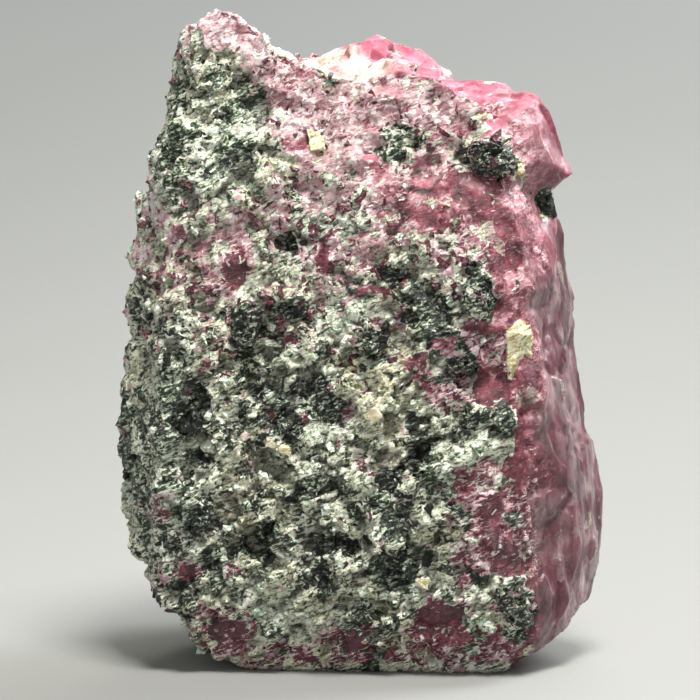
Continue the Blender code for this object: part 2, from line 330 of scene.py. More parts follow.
PALE_PATCHES = (  # x, height, half width, half height, share of amphibole, so a low one is pale
    ("tablet", -1.68, 19.05, 0.26, 0.44, 0.0), ("yellow grain", 5.6, 18.0, 0.42, 0.42, 0.0),
    # the rim glint is a painted highlight: a pale patch where the rim catches the light
    ("rim glint", 4.2, 19.8, 0.5, 0.28, 0.0), ("upper left pale", -3.4, 17.8, 1.0, 0.8, 0.1),
    ("pale under the band", 1.6, 14.8, 1.0, 0.45, 0.1), ("upper pale", -0.6, 16.0, 1.1, 0.42, 0.08),
    ("right pale", 2.1, 15.4, 0.6, 0.35, 0.1), ("small pale", 3.2, 16.0, 0.42, 0.28, 0.1),
    ("left pale", -3.5, 14.2, 0.42, 0.35, 0.12), ("middle pale", -0.9, 12.4, 0.8, 0.45, 0.08),
    ("thin pale", 0.3, 13.0, 0.6, 0.28, 0.1), ("flank pale", -5.0, 9.9, 0.55, 0.75, 0.1),
    ("arc", -0.8, 10.7, 0.6, 0.42, 0.15), ("belly pale", 0.4, 9.2, 1.0, 0.6, 0.08),
    ("left arc", -3.2, 8.1, 0.9, 0.32, 0.05, -25.0), ("low pale", -4.9, 6.8, 0.4, 0.36, 0.15),
    ("middle low pale", -0.5, 7.0, 0.65, 0.42, 0.18), ("right low pale", 4.0, 7.7, 1.1, 0.45, 0.05, 25.0),
    ("right foot pale", 4.4, 2.7, 0.7, 0.45, 0.08), ("lower pale", -4.6, 5.0, 0.45, 0.32, 0.2),
    ("streak below", -1.9, 5.7, 1.6, 0.35, 0.12), ("right lower pale", 3.3, 4.4, 0.65, 0.38, 0.08),
    ("foot pale", 2.1, 2.8, 0.55, 0.42, 0.15), ("foot ring", 4.2, 1.75, 0.5, 0.42, 0.1),
)
GRAIN_COVER = 0.9  # how much of the bare corundum a patch of grains covers
GREEN_CRUST, GREENER = (-5.3, 19.0, 2.4, 3.6), 0.4  # the crust above left, and how much mossier it is
lay(dark, DARK_PATCHES + PALE_PATCHES)
for _, x, height, half_width, half_height, _, *turn in DARK_PATCHES + PALE_PATCHES:
    bare -= bare * GRAIN_COVER * patch_mask(x, height, half_width, half_height, *turn)
green += GREENER * patch_mask(*GREEN_CRUST)
print("amphibole, mean share of the crust:", round(float(dark.mean()), 2))

# %% [markdown]
# Iron has stained some of the feldspar cream: a few grains on the front, and the dust in the trough of the
# broken top, whose palest cream is partly painted light from the lamp above. The trough is seen from above,
# so its patches are laid out by x and y instead of by height.

# %% Patches of cream feldspar
CREAM_ON_FRONT = (  # x, height, half width, half height, how warm the feldspar is
    ("yellow grain", 5.6, 18.0, 0.42, 0.42, 1.0), ("tablet", -1.68, 19.05, 0.26, 0.44, 0.5),
    ("left arc", -3.0, 7.9, 0.9, 0.32, 0.5), ("streak below", -1.9, 5.7, 1.6, 0.35, 0.4),
    ("flank pale", -4.9, 9.7, 0.6, 0.85, 0.4),
)
CREAM_PATCHES = (  # x, y, half width, half depth, how much of the broken top is cream
    ("trough", -1.2, -2.2, 2.6, 2.3, 0.9), ("back of the trough", -2.0, 2.0, 1.6, 2.0, 0.7),
    ("crest", -0.3, 0.5, 0.6, 1.0, 0.6),
)
CREAM_EDGE = (1.25, 0.6)  # where a patch in the trough fades, as shares of its half size
lay(warm, CREAM_ON_FRONT)
cream = np.zeros(len(places))
for _, x, depth, half_width, half_depth, share in CREAM_PATCHES:
    away = np.sqrt(((across - x) / half_width) ** 2 + ((back - depth) / half_depth) ** 2)
    cream = np.maximum(cream, share * top * ease(*CREAM_EDGE, away))
print("cream, share of the points:", round(float((cream > 0.3).mean()), 3))

# %% [markdown]
# Frost is a pale dust of feldspar and tiny cracks that veils the corundum. It could be one even coat, but it
# lies thick at the crown and under the rim, and is nearly gone from the band and the windows.

# %% Patches of frost
FROST_PATCHES = (  # x, height, half width, half height, how much pale dust the corundum carries
    ("crown", -0.9, 20.9, 1.5, 0.6, 1.0), ("crown window", -1.2, 19.8, 2.2, 0.7, 0.82),
    ("peak cap", -4.6, 23.1, 2.3, 1.2, 1.0, -45.0), ("rim", 2.4, 20.3, 2.6, 0.8, 0.80, -8.0),
    ("top centre", -0.6, 17.6, 2.4, 1.6, 0.72), ("band's heart", 3.6, 17.3, 1.3, 0.6, 0.10),
    ("right window", 5.4, 15.8, 1.3, 0.8, 0.05), ("band", 3.0, 16.6, 2.6, 0.9, 0.30, -20.0),
    ("frosted flank", 6.1, 13.2, 0.8, 2.0, 0.30), ("low frost", 6.2, 5.0, 0.7, 1.6, 0.60),
    ("low right", 4.6, 5.2, 1.0, 2.0, 0.62), ("waist", 3.7, 10.6, 1.3, 1.2, 0.60),
    ("waist's heart", 4.6, 10.2, 0.45, 0.6, 0.0),
)
lay(frost, FROST_PATCHES)
print("frost, mean share:", round(float(frost.mean()), 2))

# %% [markdown]
# Hearts are the clearest windows. They have no crust and almost no frost, so one sees down into raspberry
# corundum. Real depth would need glass and a long render. A darker, cleaner colour with a gloss on it does as
# well here, because the corundum lets hardly any light through. The shoulder's front is painted a little
# darker too: painted shade below its lit top.

# %% The clear hearts
HEARTS = (  # x, height, half width, half height of the clearest windows into raspberry corundum
    (2.25, 17.45, 0.38, 0.28), (-4.5, 14.5, 0.42, 0.50), (3.6, 17.3, 1.20, 0.50, -15.0),
    (5.4, 15.9, 1.10, 0.80, -20.0), (4.5, 16.6, 0.90, 0.34, -25.0), (5.5, 14.9, 0.60, 0.45),
    (6.0, 10.6, 0.45, 0.50), (4.9, 17.6, 0.45, 0.24, -20.0), (2.2, 16.4, 0.80, 0.40, -10.0),
    (-2.2, 19.1, 0.70, 0.28, 8.0), (0.6, 18.0, 0.55, 0.30, -20.0), (4.5, 12.2, 0.80, 0.22),
    (4.5, 10.0, 0.70, 0.58), (4.6, 5.2, 0.50, 1.00, -12.0), (5.2, 3.9, 0.40, 0.60),
    (2.9, 1.8, 0.90, 0.50), (-0.4, 0.8, 0.40, 0.40), (-5.0, 1.3, 0.60, 0.35), (-2.8, 11.7, 0.22, 0.22),
    (2.6, 16.0, 0.40, 0.35), (-4.4, 13.8, 0.30, 0.30), (2.0, 11.1, 0.55, 0.42), (4.95, 14.6, 0.45, 0.40),
    (-1.3, 14.7, 0.25, 0.80), (0.4, 13.6, 0.60, 0.18), (3.2, 15.9, 0.30, 0.22), (-6.4, 3.5, 0.26, 0.26),
)
BROWN_HEARTS = ((2.25, 17.45, 0.38, 0.28), (1.75, 17.30, 0.26, 0.16, 20.0), (3.5, 17.0, 0.16, 0.20))
HEART_SHARE, HEART_CLEARED, HEART_DEPTH = 0.99, 0.95, 0.42  # how bare, how free of dust and how dark
SHOULDER_FACE, SHOULDER_SIDE_SHADE = (6.8, 18.1, 0.55, 1.1), 0.18  # painted shade: the shoulder's front is darker mauve below its lit pink top
SHOULDER_SHADE, SHOULDER_LEFT = 0.08, (4.6, 5.4)  # to the right of it, the top's painted glow is a little less

clear = np.zeros(len(places))
for x, height, half_width, half_height, *turn in HEARTS:
    here = patch_mask(x, height, half_width, half_height, *turn)
    clear = np.maximum(clear, here)
    bare += (HEART_SHARE - bare) * here
    frost -= frost * HEART_CLEARED * here
    painted_glow -= HEART_DEPTH * here
# these windows lose all their painted glow, so they are the darkest corundum
for heart in BROWN_HEARTS:
    painted_glow -= patch_mask(*heart)
# painted shade on the shoulder's front
painted_glow -= SHOULDER_SIDE_SHADE * patch_mask(*SHOULDER_FACE)
painted_glow -= SHOULDER_SHADE * top * ease(*SHOULDER_LEFT, across)
print("clear hearts, share of the points:", round(float((clear > 0.5).mean()), 3))

# %% [markdown]
# ## Steps, facets and grains in the skin
#
# Corundum breaks into smooth, shallow shells, and the crust into angular grains. Both come from one idea:
# space is parted into Voronoi cells, and every cell is a small plane tilted its own way. Large gentle cells
# make the clean faces, and small steep ones the crust, which also stands a little proud of the corundum. A
# plain noise was the other way to do it, but it makes soft hills, and rock has flats and edges.

# %% Small planes, and the grain of the rock
CRUST_BLOCKS = ((1.05, 0.150), (0.55, 0.150), (0.30, 0.080))  # cell width and height, in mm
CLEAN_BLOCKS = ((1.5, 0.045), (0.60, 0.028), (0.30, 0.010))
BREAK_BLOCKS = ((2.2, 0.080), (0.80, 0.028), (0.34, 0.012))
TILT, SHIFT = 1.4, 0.9  # how much of a cell's height its tilt and its step make
TILT_SPREAD, SHIFT_SPREAD = 7919.0, 104729.0  # primes that give every cell chances of its own
FIBRE_RISE = 22.0  # degrees that the fibres of the crust rise towards the right
RIDGE = (1.0, 0.55, 0.28)  # length, depth and width in mm of the ridges in the crust


def tilted_cells(point, width, height):
    """The height, at a point, of a skin of small planes that are each tilted and shifted their own way."""
    nearest = noise.voronoi(point / width)[1][0]
    tilt = noise.cell_vector(nearest * TILT_SPREAD) * 2.0 - Vector((1.0, 1.0, 1.0))
    shift = noise.cell(nearest * SHIFT_SPREAD) - 0.5
    return height * (TILT * tilt.dot(point / width - nearest) + SHIFT * shift)


def planes(point, blocks):
    """The height of cells of several sizes, one upon the other."""
    return sum(tilted_cells(point, width, height) for width, height in blocks)


def along_fibres(point, length, depth, width):
    """The point in a space that is turned along the fibres, and where one unit is one ridge."""
    rise = math.radians(FIBRE_RISE)
    along = point.x * math.cos(rise) + point.z * math.sin(rise)
    over = point.z * math.cos(rise) - point.x * math.sin(rise)
    return Vector((along / length, point.y / depth, over / width))


print("a crust plane's height, mm:", round(tilted_cells(Vector((0.0, 0.0, 12.0)), *CRUST_BLOCKS[0]), 3))

# %% [markdown]
# Some shapes in the crust are larger than its small planes: an arch, a block, a slit between two shelves.
# Each is a soft mound or hollow with its own place and turn. It could be a bump in the material, but it casts
# a shadow and shows at the outline, so it belongs in the mesh. A few round pits were etched into the clean
# right side. A pit is a ring-shaped groove around a low dome.

# %% Mounds, hollows and etched pits
ETCH_PITS = (  # x, height, radius of the groove, depth
    (6.85, 5.9, 0.62, 0.16), (6.35, 8.6, 0.42, 0.10), (7.0, 11.3, 0.50, 0.10), (6.3, 3.7, 0.45, 0.10),
    (6.5, 13.5, 0.36, 0.08), (7.4, 8.0, 0.40, 0.08),
)
PIT_SLIMNESS, GROOVE_WIDTH = 0.8, 0.28  # a pit's width by its height, and its groove's by its radius
FORMS = (  # x, height, half width, half height, how far it stands out in mm, turn in degrees
    ("arch", -2.7, 13.35, 0.90, 0.26, 0.32, 6.0), ("under the arch", -2.2, 12.65, 0.55, 0.34, -0.28, 0.0),
    ("upright prism", -4.2, 12.4, 0.40, 0.75, 0.26, 0.0), ("stub", 0.45, 12.0, 0.45, 0.50, 0.26, 0.0),
    ("block", 4.25, 13.7, 0.50, 1.00, 0.26, 0.0), ("green cluster", 4.5, 18.5, 0.75, 0.65, 0.20, 0.0),
    ("brown heart", 2.25, 17.45, 0.36, 0.28, -0.08, 0.0),
    ("belly slit", -1.5, 9.7, 0.34, 0.85, -0.22, 0.0),
    ("beside the prism", -3.9, 10.5, 0.34, 0.80, -0.24, 0.0),
    ("slant", 1.9, 7.7, 1.80, 0.26, -0.20, 38.0), ("under the slant", 2.6, 6.9, 1.60, 0.24, 0.22, 38.0),
    ("flank", -6.3, 9.2, 0.70, 0.70, -0.22, 0.0), ("flank hole", -5.9, 7.65, 0.36, 0.30, -0.22, 0.0),
    ("foot cluster", 5.6, 2.4, 0.60, 1.00, 0.26, 0.0), ("low slit", -0.8, 4.5, 1.20, 0.36, -0.24, -8.0),
    ("low shelf", -0.6, 3.7, 1.30, 0.28, 0.20, -8.0), ("left shelf", -3.3, 8.3, 1.00, 0.26, 0.24, -25.0),
    ("left slit", -3.4, 7.6, 0.90, 0.26, -0.20, -25.0),
    ("middle slit", -2.6, 15.4, 0.32, 0.46, -0.18, 15.0),
    ("upper slit", 1.0, 14.3, 0.45, 0.26, -0.18, 30.0),
    ("right hollow", 3.1, 11.1, 0.42, 0.36, -0.16, 0.0),
    ("right shelf", 4.0, 7.6, 0.90, 0.26, 0.20, 25.0),
)


def stand_out():
    """The shapes in the crust that are too large for its small planes."""
    out = np.zeros(len(places))
    for _, x, height, half_width, half_height, far, turn in FORMS:
        out += far * patch_mask(x, height, half_width, half_height, turn)
    return out


def etch_pits():
    """A round groove with a dome inside it, for each of the etched pits."""
    depth = np.zeros(len(places))
    for x, height, radius, deep in ETCH_PITS:
        away = np.sqrt((across - x) ** 2 + ((upward - height) * PIT_SLIMNESS) ** 2) / radius
        depth -= deep * np.exp(-((away - 1.0) / GROOVE_WIDTH) ** 2) * front
    return depth


print("mounds and hollows:", len(FORMS), "etched pits:", len(ETCH_PITS))

# %% [markdown]
# The clean right side has faces that are drawn out upwards, with soft shell-shaped ripples. Where bare
# corundum meets the crust it breaks into small ledges. The left side is worn, so its relief is lower. A
# Displace modifier could push the skin too, but it knows one texture, and here each point mixes several
# reliefs by its own shares. So a loop works out how far every point moves along its normal.

# %% Pushing the skin in and out
RIDGE_HEIGHT, RIDGE_LEVEL = 0.22, 0.25  # mm, and the noise level from which a ridge is measured
RELIEF_CORUNDUM, RELIEF_CRUST = 0.35, 0.65  # the rock's relief in rough corundum, and what crust adds to it
RIPPLE_SPACING, RIPPLE_HEIGHT = 0.62, 0.006  # of the shell-shaped ripples in the clean corundum
RIPPLE_BEND, BEND_SIZE = 2.5, 1.6  # how many ripples far they bend, and the size of the bends in mm
LEDGE_SPACING, LEDGE_HEIGHT = 0.36, 0.085  # of the small ledges where corundum shows through the crust
LEDGE_FALL, LEDGE_BEND, LEDGE_SIZE = 0.30, 0.60, 0.8  # their fall to the right, and their bends in mm
CRUST_PROUD = 0.09  # how far the crust stands out of the corundum
WORN_SIDE, WORN_TO = (-6.0, -7.4), 0.50  # where the left side is worn, and how much of its relief is left
QUIET_FOOT = (0.05, 0.60)  # the skin's detail starts this far above the flat end
DRAWN_OUT = 2.6  # how much longer than wide the clean side's planes are
SMOOTH_HEART = 0.75  # how much of the rough relief a clear window of corundum is without
CREAM_ROUGH = 0.25  # how rough the cream part of the broken top is
RELIEF_SPAN = 0.50  # mm of relief between the share of hollows being 0 and its being 1


def skin_moves(points, crust_share, top_share, rough_share):
    """How far each point of the skin moves along its normal, in mm."""
    moves = np.zeros(len(points))
    for i, place in enumerate(points):
        point = Vector(place)
        crust, broken, rough = crust_share[i], top_share[i], rough_share[i]
        drawn = Vector((point.x, point.y, point.z / DRAWN_OUT))
        ridge = RIDGE_LEVEL - abs(noise.noise(along_fibres(point, *RIDGE)))
        rocky = RELIEF_CORUNDUM * rough + RELIEF_CRUST * crust
        smooth = (1.0 - crust) * (1.0 - broken)
        move = rocky * (planes(point, CRUST_BLOCKS) + RIDGE_HEIGHT * ridge)
        move += smooth * planes(drawn, CLEAN_BLOCKS)
        move += broken * planes(point, BREAK_BLOCKS)
        ripple = point.x / RIPPLE_SPACING + RIPPLE_BEND * noise.noise(point / BEND_SIZE)
        move += smooth * RIPPLE_HEIGHT * math.sin(math.tau * ripple)
        wavy = point.z + LEDGE_FALL * point.x + LEDGE_BEND * noise.noise(point / LEDGE_SIZE)
        move += LEDGE_HEIGHT * (0.5 - wavy / LEDGE_SPACING % 1.0) * rough * (1.0 - crust)
        moves[i] = move + CRUST_PROUD * (crust - 0.5)
    return moves * ease(*QUIET_FOOT, points[:, 2])


worn = ease(*WORN_SIDE, across)
crust = np.clip(1.0 - bare, 0.0, 1.0)
rough = (1.0 - smooth_side) * (1.0 - top * (1.0 - CREAM_ROUGH * cream))
moves = skin_moves(places, crust, top, rough * (1.0 - SMOOTH_HEART * clear))
moves = moves * (1.0 + (WORN_TO - 1.0) * worn) + etch_pits() + stand_out()
for v, move in zip(skin.verts, moves * MM):
    v.co += v.normal * move
    v.co.z = max(v.co.z, LOW.z)
skin.normal_update()
# how deep a point lies in the relief; the shader paints shade there, darkening the crust and thinning the
# pale dust
low = np.clip(0.5 - moves / RELIEF_SPAN, 0.0, 1.0)
print("skin moves, mm:", round(float(moves.min()), 3), "to", round(float(moves.max()), 3))

# %% [markdown]
# The fine skin becomes one object, with the shares written on it as attributes for the shader. An image
# would need the skin unwrapped first. An attribute sits on the points themselves, and the points are finer
# than the patches, so nothing is lost.

# %% The skin as an object with its mineral shares
SHARES = {
    "bare": np.clip(bare, 0.0, 1.0), "amphibole": np.clip(dark, 0.0, 1.0), "green": np.clip(green, 0.0, 1.0),
    "painted_glow": painted_glow, "warm": np.clip(warm, 0.0, 1.0), "cream": cream, "rough": rough, "low": low,
    "frost": frost, "clear": clear,
}
skin_mesh = mesh_from(skin, "crystal_skin")
skin_mesh.shade_smooth()
for name, share in SHARES.items():
    skin_mesh.attributes.new(name, "FLOAT", "POINT").data.foreach_set("value", share.astype(np.float32))
crystal_skin = in_scene("crystal_skin", skin_mesh)
print("skin object:", len(skin_mesh.vertices), "points")

# %% [markdown]
# ## Grains of the crust
#
# A grain of amphibole or feldspar breaks along flat cleavage planes, so each template starts as a cube that a
# few random planes cut. A dozen templates per mineral are enough, because every copy is turned, stretched and
# sunk its own way. Copies are stamped into one mesh rather than instanced, so that the grains are real
# geometry.

# %% Cleaved grain templates and a stamp
TEMPLATES = 12
CLOSE_CUTS, CORNER_CUTS, EDGE_CUTS = (0.20, 0.40), (0.33, 0.48), (0.36, 0.50)  # how far from the middle
BLOCK_CUTS, TABLET_CUTS = 9, 4
WEDGE_FOOT, WEDGE_LID, WEDGE_TALL = 0.10, 0.56, 0.75  # radii and height of a wedge about 1 across
WEDGE_PEAK, WEDGE_ASIDE = 0.32, (0.1, 0.3)  # how high its lid rises, and how far from the middle


def cleaved_grain(rng, stretch, cuts, nearness=CLOSE_CUTS):
    """A cube about 1 across, cut by flat cleavage planes that pass so near its middle."""
    bm = bmesh.new()
    bmesh.ops.create_cube(bm, size=1.0)
    for _ in range(cuts):
        away = Vector([rng.uniform(-1.0, 1.0) for _ in range(3)]).normalized()
        cut = bmesh.ops.bisect_plane(bm, geom=bm.verts[:] + bm.edges[:] + bm.faces[:], dist=TINY,
                                     plane_co=away * rng.uniform(*nearness), plane_no=away, clear_outer=True)
        rim = [e for e in cut["geom_cut"] if isinstance(e, bmesh.types.BMEdge)]
        if rim:
            bmesh.ops.edgenet_fill(bm, edges=rim)
    bmesh.ops.scale(bm, vec=stretch, verts=bm.verts[:])
    bmesh.ops.triangulate(bm, faces=bm.faces[:])
    bmesh.ops.recalc_face_normals(bm, faces=bm.faces[:])
    return mesh_from(bm, "grain_template")


def large_block(rng):
    """A block about 1 across, with many cleavage cuts near its corners."""
    return cleaved_grain(rng, (1.0, 1.0, 1.0), BLOCK_CUTS, CORNER_CUTS)


def tablet(rng):
    """A plain block about 1 across, with few cuts."""
    return cleaved_grain(rng, (1.0, 1.0, 1.0), TABLET_CUTS, EDGE_CUTS)


def kite_wedge(rng):
    """A six-sided wedge about 1 across that ends in a point below, and in a low slanting peak above."""
    bm = bmesh.new()
    bmesh.ops.create_cone(bm, cap_ends=True, segments=6, radius1=WEDGE_FOOT, radius2=WEDGE_LID,
                          depth=WEDGE_TALL)
    lid = max(bm.faces, key=lambda face: face.calc_center_median().z)
    middle = bmesh.ops.poke(bm, faces=[lid])["verts"][0]
    middle.co += Vector((rng.uniform(*WEDGE_ASIDE), 0.0, WEDGE_PEAK))
    bmesh.ops.triangulate(bm, faces=bm.faces[:])
    return mesh_from(bm, "wedge_template")


def seat(place, outward, size, turn, lean, sink):
    """Where a grain sits: turned about the skin's normal, leaning, and sunk by a share of its size."""
    upright = outward.to_track_quat("Z", "Y").to_matrix().to_4x4()
    turned = Matrix.Rotation(turn, 4, "Z") @ Matrix.Rotation(lean, 4, "X")
    scale = Matrix.Diagonal((*size, 1.0))
    return Matrix.Translation(place - outward * sink * min(size)) @ upright @ turned @ scale


def stamp(bm, template, matrix):
    """Adds a copy of the template to the mesh, seated by the matrix."""
    template.transform(matrix)
    bm.from_mesh(template)
    template.transform(matrix.inverted())


def piece(name, bm, material):
    """One object from a bmesh, with its material, riding on the crystal."""
    mesh = mesh_from(bm, name)
    mesh.materials.append(material)
    obj = in_scene(name, mesh)
    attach(obj, "root")
    print(name, "triangles:", len(mesh.polygons))
    return obj

# %% [markdown]
# ## Materials
#
# Each mineral gets a material that is named for it. The patterns are built from nodes, because they then run
# through the rock in real millimetres and need no image. One helper adds any shader node with its settings,
# its sockets' values and its links, so that a material below reads as a list of what feeds what.

# %% The node helper
def add(tree, kind, inputs=None, stops=(), **settings):
    """Adds one shader node with its settings, its sockets' values or links and its colour stops."""
    made = tree.nodes.new("ShaderNode" + kind)
    for name, setting in settings.items():
        setattr(made, name, setting)
    for socket, given in (inputs or {}).items():
        if isinstance(given, bpy.types.NodeSocket):
            tree.links.new(given, made.inputs[socket])
        else:
            made.inputs[socket].default_value = given
    for index, (position, colour) in enumerate(stops):
        elements = made.color_ramp.elements
        element = elements[index] if index < len(elements) else elements.new(position)
        element.position, element.color = position, linear(colour)
    return made.outputs


def new_material(name):
    """A material, its node tree and its shader."""
    material = bpy.data.materials.new(name)
    material.use_nodes = True
    return material, material.node_tree, material.node_tree.nodes["Principled BSDF"]


def set_shader(tree, shader, **inputs):
    """Sets or links the shader's own sockets; an underscore in a name stands for a space."""
    for name, given in inputs.items():
        socket = shader.inputs[name.replace("_", " ")]
        if isinstance(given, bpy.types.NodeSocket):
            tree.links.new(given, socket)
        else:
            socket.default_value = given

# %% [markdown]
# The skin is corundum where it is bare and a mix of grains elsewhere, so one material holds three minerals.
# Three meshes side by side would need an edge wherever two minerals meet. Patterns are laid out in
# millimetres. Two sizes of Voronoi cells stand for coarse and fine grains, and a fine noise makes their edges
# ragged. A second noise is drawn out along the fibres of the rock: it breaks every grain into short streaks,
# the way that cleavage does.

# %% Where the patterns are laid out
RAGGED_SIZE, RAGGED_REACH = 0.20, 0.22  # in mm, of the noise that breaks up the grains' edges
COARSE_GRAIN, FINE_GRAIN = 0.58, 0.17  # in mm across
FIBRE = (0.36, 0.20, 0.09)  # length, depth and width in mm; finer in the real rock, drawn to show
TURNED_TO_FIBRES = (0.0, math.radians(-FIBRE_RISE), 0.0)


def fibrous(tree, place, size):
    """The place, turned along the fibres and measured in fibres of that size."""
    return add(tree, "Mapping", {"Vector": place, "Rotation": TURNED_TO_FIBRES, "Scale": size},
               vector_type="TEXTURE")[0]


def pattern_places(tree):
    """The place in mm, the same made ragged, and the fine streaks that run along the fibres there."""
    metres = add(tree, "TexCoord")["Object"]
    flat = add(tree, "VectorMath", {0: metres, "Scale": 1.0 / MM}, operation="SCALE")[0]
    bend = add(tree, "TexNoise", {"Vector": flat, "Scale": 1.0 / RAGGED_SIZE, "Detail": 3.0})["Color"]
    ragged = add(tree, "VectorMath", {0: bend, 1: (RAGGED_REACH,) * 3, 2: flat}, operation="MULTIPLY_ADD")[0]
    streaks = add(tree, "TexNoise", {"Vector": fibrous(tree, ragged, FIBRE), "Scale": 1.0, "Detail": 4.0,
                                     "Roughness": 0.6})["Fac"]
    return flat, ragged, streaks

# %% [markdown]
# Close up, every grain of the crust is a stack of tiny plates with shaded gaps between them. A bump could
# draw the gaps, but soft light would fill them, so their shade is painted into the colour. One pattern serves
# every grain: the streaks, the grain's own chance, and a Voronoi pattern whose edges are the painted gaps.

# %% The fine light and dark of every grain, with painted shade in its gaps
PLATE = (0.34, 0.20, 0.15)  # length, depth and width in mm
GAP, GAP_PAINTED_SHADE = 0.14, 0.42  # width of the painted shade in a gap, as a share of a plate, and how light that shade still is
GRAIN_CHANCE = 0.32  # how much of the tone is the whole grain's own; the rest is the streaks'


def tone_with_gap_shade(tree, ragged, streaks, chance):
    """Low in the gaps between plates, where shade is painted, and up to 1 on the lightest of them."""
    crisp = add(tree, "MapRange", {"Value": streaks, "From Min": 0.38, "From Max": 0.62})[0]
    tone = add(tree, "Mix", {0: GRAIN_CHANCE, 2: crisp, 3: chance})[0]
    to_edge = add(tree, "TexVoronoi", {"Vector": fibrous(tree, ragged, PLATE), "Scale": 1.0},
                  feature="DISTANCE_TO_EDGE")[0]
    # painted shade along the plates' edges
    plate = add(tree, "MapRange", {"Value": to_edge, "From Max": GAP, "To Min": GAP_PAINTED_SHADE})[0]
    return add(tree, "Math", {0: tone, 1: plate}, operation="MULTIPLY")[0]

# %% [markdown]
# On its clean side, the corundum is mauve under broad, soft veils. Higher up, and most of all on the broken
# top, it is painted a glowing pink: painted light, where the lamp above shines through the stone. The veils
# and the facets are drawn out upwards, as the faces themselves are. One flat pink would be simpler, but the
# eye takes it for plastic: it is the change from clear hearts to milky veils that makes a gem.

# %% The colour of clean corundum
MAUVE = ((0.30, "4a242b"), (0.46, "683e46"), (0.59, "85686b"), (0.72, "b3a19f"))
BLUSH = ((0.26, "782e3e"), (0.44, "a04a5e"), (0.60, "bd6c7e"), (0.80, "daa9b6"))  # painted light: the pink that the lamp above lights through the stone, strongest on the broken top
EDGE_FROST_AND_HIGHLIGHT, FACET_LINE = "d9cbc8", 0.07  # frost and painted highlight along a facet's edge, and its width as a share of the facet
VEIL_WIDTH, VEIL_HEIGHT = 0.55, 1.3  # in mm
FACET_WIDTH, FACET_HEIGHT = 0.72, 2.4  # in mm, of the clean side's drawn-out facets
FACET_BEND, BEND_SPACING = 0.5, 2.0  # in mm, how far and how often their edges bend


def drawn_facets(tree, flat):
    """A random colour for each drawn-out facet of the clean side, and the distance to the facet's edge."""
    bend = add(tree, "TexNoise", {"Vector": flat, "Scale": 1.0 / BEND_SPACING})["Color"]
    place = add(tree, "VectorMath", {0: bend, 1: (FACET_BEND,) * 3, 2: flat}, operation="MULTIPLY_ADD")[0]
    drawn = add(tree, "VectorMath", {0: place, 1: (1 / FACET_WIDTH, 1 / FACET_WIDTH, 1 / FACET_HEIGHT)},
                operation="MULTIPLY")[0]
    own = add(tree, "TexVoronoi", {"Vector": drawn, "Scale": 1.0})["Color"]
    to_edge = add(tree, "TexVoronoi", {"Vector": drawn, "Scale": 1.0}, feature="DISTANCE_TO_EDGE")[0]
    return own, to_edge


def clean_colour(tree, flat, share, facet, to_edge, hearts):
    """Mauve under soft veils, which turns to blush where the painted glow is high, with facet edges of frost
    and painted highlight.
    """
    drawn = add(tree, "VectorMath", {0: flat, 1: (1 / VEIL_WIDTH, 1 / VEIL_WIDTH, 1 / VEIL_HEIGHT)},
                operation="MULTIPLY")[0]
    veil = add(tree, "TexNoise", {"Vector": drawn, "Scale": 1.0, "Detail": 6.0, "Roughness": 0.65})["Fac"]
    veil = add(tree, "Mix", {0: 0.22, 2: veil, 3: add(tree, "SeparateColor", {"Color": facet})["Red"]})[0]
    mauve = add(tree, "ValToRGB", {"Fac": veil}, MAUVE)["Color"]
    blush = add(tree, "ValToRGB", {"Fac": veil}, BLUSH)["Color"]
    painted_glow_level = add(tree, "MapRange", {"Value": share["painted_glow"], "From Min": 0.55, "From Max": 0.95})[0]
    smooth = add(tree, "Mix", {0: painted_glow_level, 6: mauve, 7: blush}, data_type="RGBA")[2]
    # frost and painted highlight along each facet's edge
    line = add(tree, "MapRange", {"Value": to_edge, "From Max": FACET_LINE, "To Min": 0.32, "To Max": 0})[0]
    here = add(tree, "MapRange", {"Value": hearts, "From Min": 0.5, "From Max": 0.6})[0]
    line = add(tree, "Math", {0: line, 1: here}, operation="MULTIPLY")[0]
    return add(tree, "Mix", {0: line, 6: smooth, 7: linear(EDGE_FROST_AND_HIGHLIGHT)}, data_type="RGBA")[2]


print("darkest mauve in linear light:", [round(c, 3) for c in linear(MAUVE[0][1])])

# %% [markdown]
# Rough corundum is raspberry where one sees into it, and pink to nearly white where tiny cracks and a dust of
# feldspar lie on it. The dust thickens towards the crust, and is painted thinner in the hollows as painted
# shade, so that it shows on the ledges. A mask painted by hand could do the same, but the shares on the skin
# already know where the ledges and the crust are.

# %% The colour of rough corundum
RASPBERRY = ((0.40, "421a20"), (0.64, "69303c"), (0.84, "924855"), (1.0, "bf8590"))
POWDER = ((0.30, "d9b0b6"), (0.60, "e9d1d2"), (0.90, "f7efee"))  # the dust


def rough_colour(tree, share, chance, streaks, hearts):
    """Raspberry hearts under pale dust, which thickens with frost and towards the crust, and is painted
    thinner in the hollows as shade.
    """
    tone = add(tree, "Math", {0: chance, 1: 0.22, 2: hearts}, operation="MULTIPLY_ADD")[0]
    # painted light: the raspberry is lighter where the painted glow is high
    tone = add(tree, "Math", {0: share["painted_glow"], 1: 0.45, 2: tone}, operation="MULTIPLY_ADD")[0]
    raspberry = add(tree, "ValToRGB", {"Fac": tone}, RASPBERRY)["Color"]
    cover = streaks
    # painted shade: less pale dust in the hollows
    for name, weight in (("bare", -0.20), ("low", -0.20), ("frost", 0.26)):
        cover = add(tree, "Math", {0: share[name], 1: weight, 2: cover}, operation="MULTIPLY_ADD")[0]
    dust = add(tree, "MapRange", {"Value": cover, "From Min": 0.31, "From Max": 0.37, "To Max": 0.92})[0]
    powder = add(tree, "ValToRGB", {"Fac": chance}, POWDER)["Color"]
    return add(tree, "Mix", {0: dust, 6: raspberry, 7: powder}, data_type="RGBA")[2]


print("darkest raspberry in linear light:", [round(c, 3) for c in linear(RASPBERRY[0][1])])

